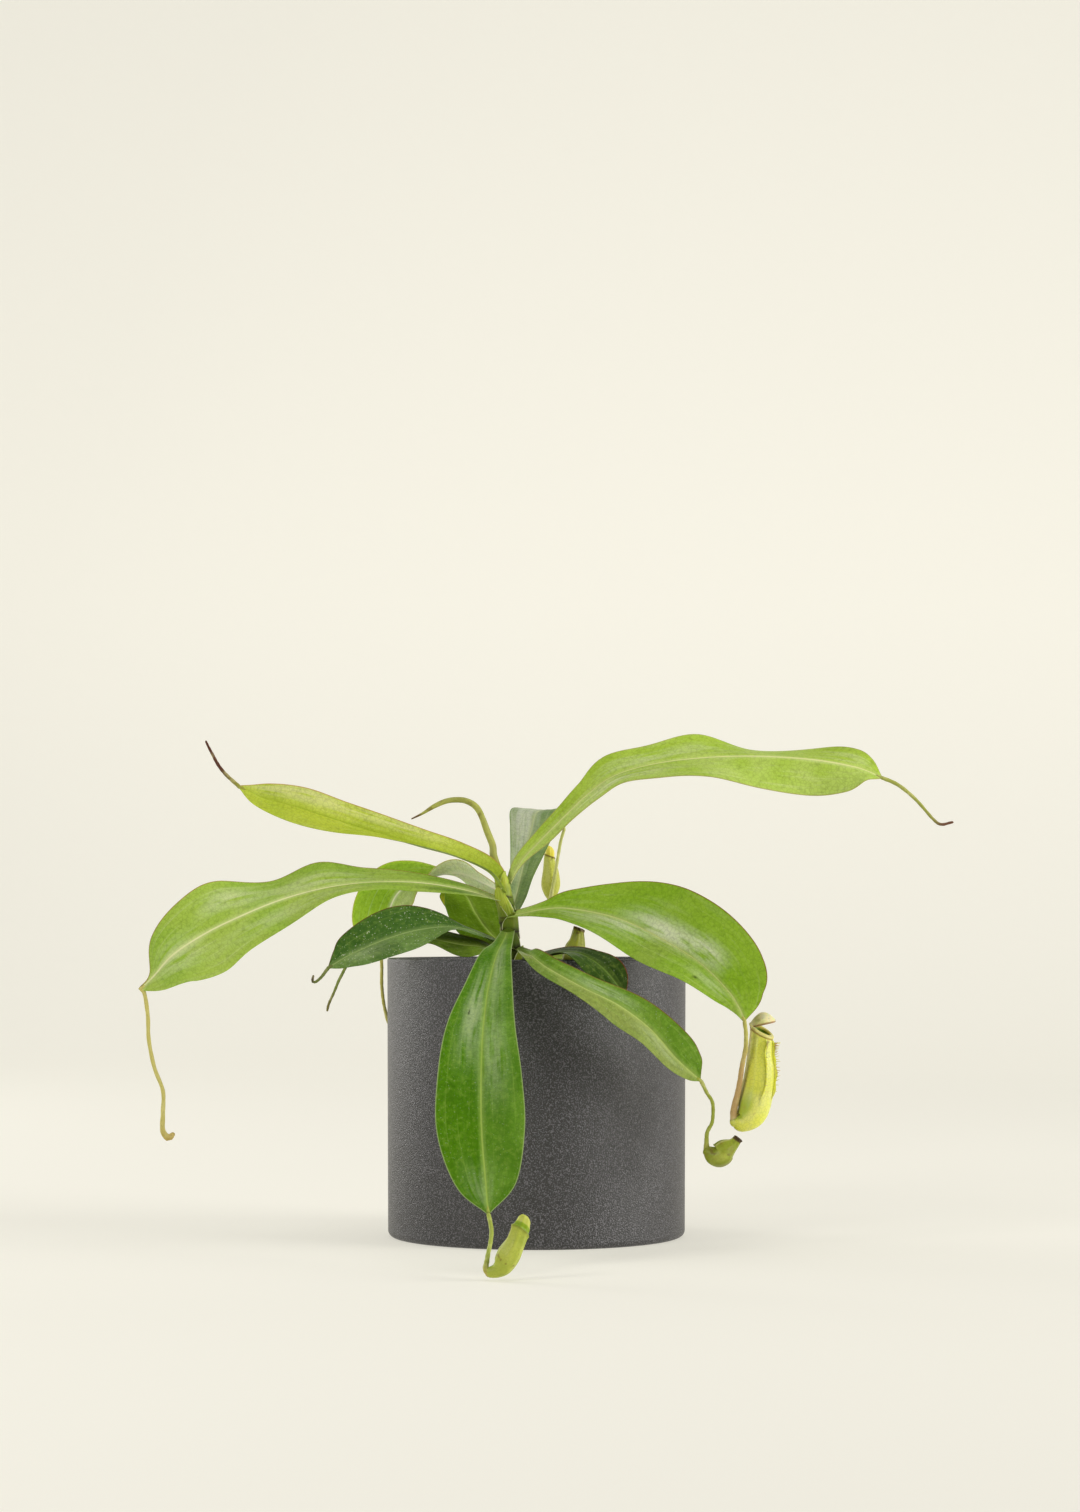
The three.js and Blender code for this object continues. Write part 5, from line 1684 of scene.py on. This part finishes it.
class PlantColours(bpy.types.PropertyGroup):
    """Colours that a user would change"""
    pot: FloatVectorProperty(
        name="Pot", description="Colour of the pot",
        default=colour("1a181b"), min=0, max=1, subtype="COLOR")
    soil: FloatVectorProperty(
        name="Soil", description="Colour of the damp peat",
        default=colour("33261c"), min=0, max=1, subtype="COLOR")
    paper: FloatVectorProperty(
        name="Backdrop", description="Colour of the floor and the wall",
        default=colour("b7b5ae"), min=0, max=1, subtype="COLOR")


class PlantLights(bpy.types.PropertyGroup):
    """How bright the stage and its lights are"""
    floor_glow: FloatProperty(
        name="Floor glow", description="Light given off by the floor itself",
        default=0.445, min=0, max=2)
    wall_glow: FloatProperty(
        name="Wall glow", description="Light given off by the wall behind",
        default=0.575, min=0, max=2)
    world: FloatProperty(
        name="World", description="Strength of the soft light from all round",
        default=0.2, min=0, max=3)
    right: FloatProperty(
        name="Right light", description="Power of the large light on the right",
        default=30, min=0, unit="POWER")
    left: FloatProperty(
        name="Left light", description="Power of the light at the back on the left",
        default=9, min=0, unit="POWER")
    front: FloatProperty(
        name="Front light", description="Power of the small light that casts the leaves' shadows",
        default=7, min=0, unit="POWER")
    top: FloatProperty(
        name="Top light", description="Power of the soft light above",
        default=4.6, min=0, unit="POWER")


# ---------------------------------------------------------------- operators

class PLANT_OT_stage(bpy.types.Operator):
    """Put up the backdrop, the soft lights and the camera at the photograph's angle"""
    bl_idname = "plant.stage"
    bl_label = "Stage"

    def execute(self, context):
        lights = context.scene.plant_lights
        stage_backdrop(context.scene.plant_colours, lights)
        for name, (location, size) in LAMPS.items():
            stage_light("light_" + name, location, size, getattr(lights, name))
        stage_world(lights.world)
        stage_camera()
        return {"FINISHED"}


class PLANT_OT_pot(bpy.types.Operator):
    """Build the pot"""
    bl_idname = "plant.pot"
    bl_label = "Pot"

    def execute(self, context):
        piece = build_pot(context.scene.plant_sizes)
        piece.data.materials.append(pot_material(context.scene.plant_colours.pot))
        finish_piece(piece, ["pot"])
        return {"FINISHED"}


class PLANT_OT_soil(bpy.types.Operator):
    """Fill the pot with damp peat, bark chips and a few grains of perlite"""
    bl_idname = "plant.soil"
    bl_label = "Soil"

    def execute(self, context):
        piece = build_soil()
        piece.data.materials.append(soil_material(context.scene.plant_colours.soil))
        finish_piece(piece, ["soil"], smooth_below=180)
        bark = build_top_bits("bark", count=60, seed=5, scale=1.4, squash=1)
        chip = bit_material("soil_bark_chip", "4a3220", "6e5034", roughness=0.9, depth=0.4)
        bark.data.materials.append(chip)
        finish_piece(bark, [], smooth_below=30)
        perlite = build_top_bits("perlite", count=22, seed=9, scale=1.0, squash=0)
        grain = bit_material("soil_perlite", "cfc8b8", "eae6dc", roughness=0.8, depth=0.3)
        perlite.data.materials.append(grain)
        finish_piece(perlite, [], smooth_below=60)
        return {"FINISHED"}


class PLANT_OT_stem(bpy.types.Operator):
    """Build the stem with the leaf bases that clasp it"""
    bl_idname = "plant.stem"
    bl_label = "Stem"

    def execute(self, context):
        finish_piece(build_stem(), ["stem"], smooth_below=80)
        sleeves = [leaf_base(f"leaf_base_{i}", *numbers) for i, numbers in enumerate(LEAF_BASES)]
        sleeves = join(sleeves, "stem_leaf_bases")
        sleeves.data.materials.append(leaf_base_material())
        finish_piece(sleeves, [], smooth_below=60)
        return {"FINISHED"}


class PLANT_OT_leaves(bpy.types.Operator):
    """Build the fourteen leaf blades"""
    bl_idname = "plant.leaves"
    bl_label = "Leaves"

    def execute(self, context):
        for name in BLADES:
            finish_piece(build_leaf(name, context.scene.plant_sizes), [name], smooth_below=50)
        finish_piece(build_rolled_leaf(), ["leaf_rolled"], smooth_below=60)
        return {"FINISHED"}


class PLANT_OT_tendrils(bpy.types.Operator):
    """Build the tendrils that carry no pitcher"""
    bl_idname = "plant.tendrils"
    bl_label = "Tendrils"

    def execute(self, context):
        for name in TENDRILS:
            if "body" not in TENDRILS[name]:
                finish_piece(build_cord(name, context.scene.plant_sizes), [name], smooth_below=60)
        return {"FINISHED"}


class PLANT_OT_young_pitchers(bpy.types.Operator):
    """Build the closed and withered pitchers, each with its stalk"""
    bl_idname = "plant.young_pitchers"
    bl_label = "Young pitchers"

    def execute(self, context):
        for name in PITCHER_LOOKS:
            cord = build_cord(name, context.scene.plant_sizes)
            piece = join([build_young_pitcher(name), cord], name + "_whole")
            finish_piece(piece, [name], smooth_below=60)
        return {"FINISHED"}


class PLANT_OT_open_pitcher(bpy.types.Operator):
    """Build the open pitcher with its lip, wings, hairs and lid"""
    bl_idname = "plant.open_pitcher"
    bl_label = "Open pitcher"

    def execute(self, context):
        sizes = context.scene.plant_sizes
        proud = sizes.wing_height / MM
        wall = tube("pitcher_wall", open_pitcher_rings(), "open", open_pitcher_ribs, OPEN_SLANT)
        wings = [open_wing(f"wing_{i}", angle, proud) for i, angle in enumerate(WING_ANGLES)]
        wax = open_pitcher_material()
        for part in (wall, *wings):
            part.data.materials.append(wax)
        lid = build_lid()
        lid.data.materials.append(lid_material())
        cord = build_cord("pitcher_open_right", sizes)
        piece = join([wall, *wings, cord, lid], "pitcher_open_right_whole")
        finish_piece(piece, ["pitcher_open_right"], smooth_below=60)
        hairs = []
        for i, angle in enumerate(WING_ANGLES):
            hairs += wing_hairs(angle, proud, sizes.hair_length / MM, seed=20 + i)
        hairs = join(hairs, "pitcher_wing_hairs")
        hairs.data.materials.append(hair_material())
        finish_piece(hairs, [], smooth_below=180)
        return {"FINISHED"}


class PLANT_PT_panel(bpy.types.Panel):
    """Lists the settings and the buttons that build each piece"""
    bl_label = "Potted pitcher plant"
    bl_idname = "PLANT_PT_panel"
    bl_space_type = "VIEW_3D"
    bl_region_type = "UI"
    bl_category = "Plant"

    def draw(self, context):
        scene = context.scene
        for settings in (scene.plant_sizes, scene.plant_colours, scene.plant_lights):
            box = self.layout.box()
            for name in settings.__annotations__:
                box.prop(settings, name)
        for step in STEPS:
            self.layout.operator(step.bl_idname)


STEPS = (PLANT_OT_stage, PLANT_OT_pot, PLANT_OT_soil, PLANT_OT_stem, PLANT_OT_leaves, PLANT_OT_tendrils,
         PLANT_OT_young_pitchers, PLANT_OT_open_pitcher)
CLASSES = (PlantSizes, PlantColours, PlantLights, *STEPS, PLANT_PT_panel)


def register():
    """Makes the settings, the buttons and the panel known."""
    for cls in CLASSES:
        bpy.utils.register_class(cls)
    bpy.types.Scene.plant_sizes = PointerProperty(type=PlantSizes)
    bpy.types.Scene.plant_colours = PointerProperty(type=PlantColours)
    bpy.types.Scene.plant_lights = PointerProperty(type=PlantLights)


def unregister():
    """Takes away what register made known."""
    del bpy.types.Scene.plant_lights
    del bpy.types.Scene.plant_colours
    del bpy.types.Scene.plant_sizes
    for cls in reversed(CLASSES):
        bpy.utils.unregister_class(cls)


def main():
    """Builds the stage and every piece in order."""
    register()
    bpy.ops.plant.stage()
    bpy.ops.plant.pot()
    bpy.ops.plant.soil()
    bpy.ops.plant.stem()
    bpy.ops.plant.leaves()
    bpy.ops.plant.tendrils()
    bpy.ops.plant.young_pitchers()
    bpy.ops.plant.open_pitcher()


if __name__ == "__main__":
    main()
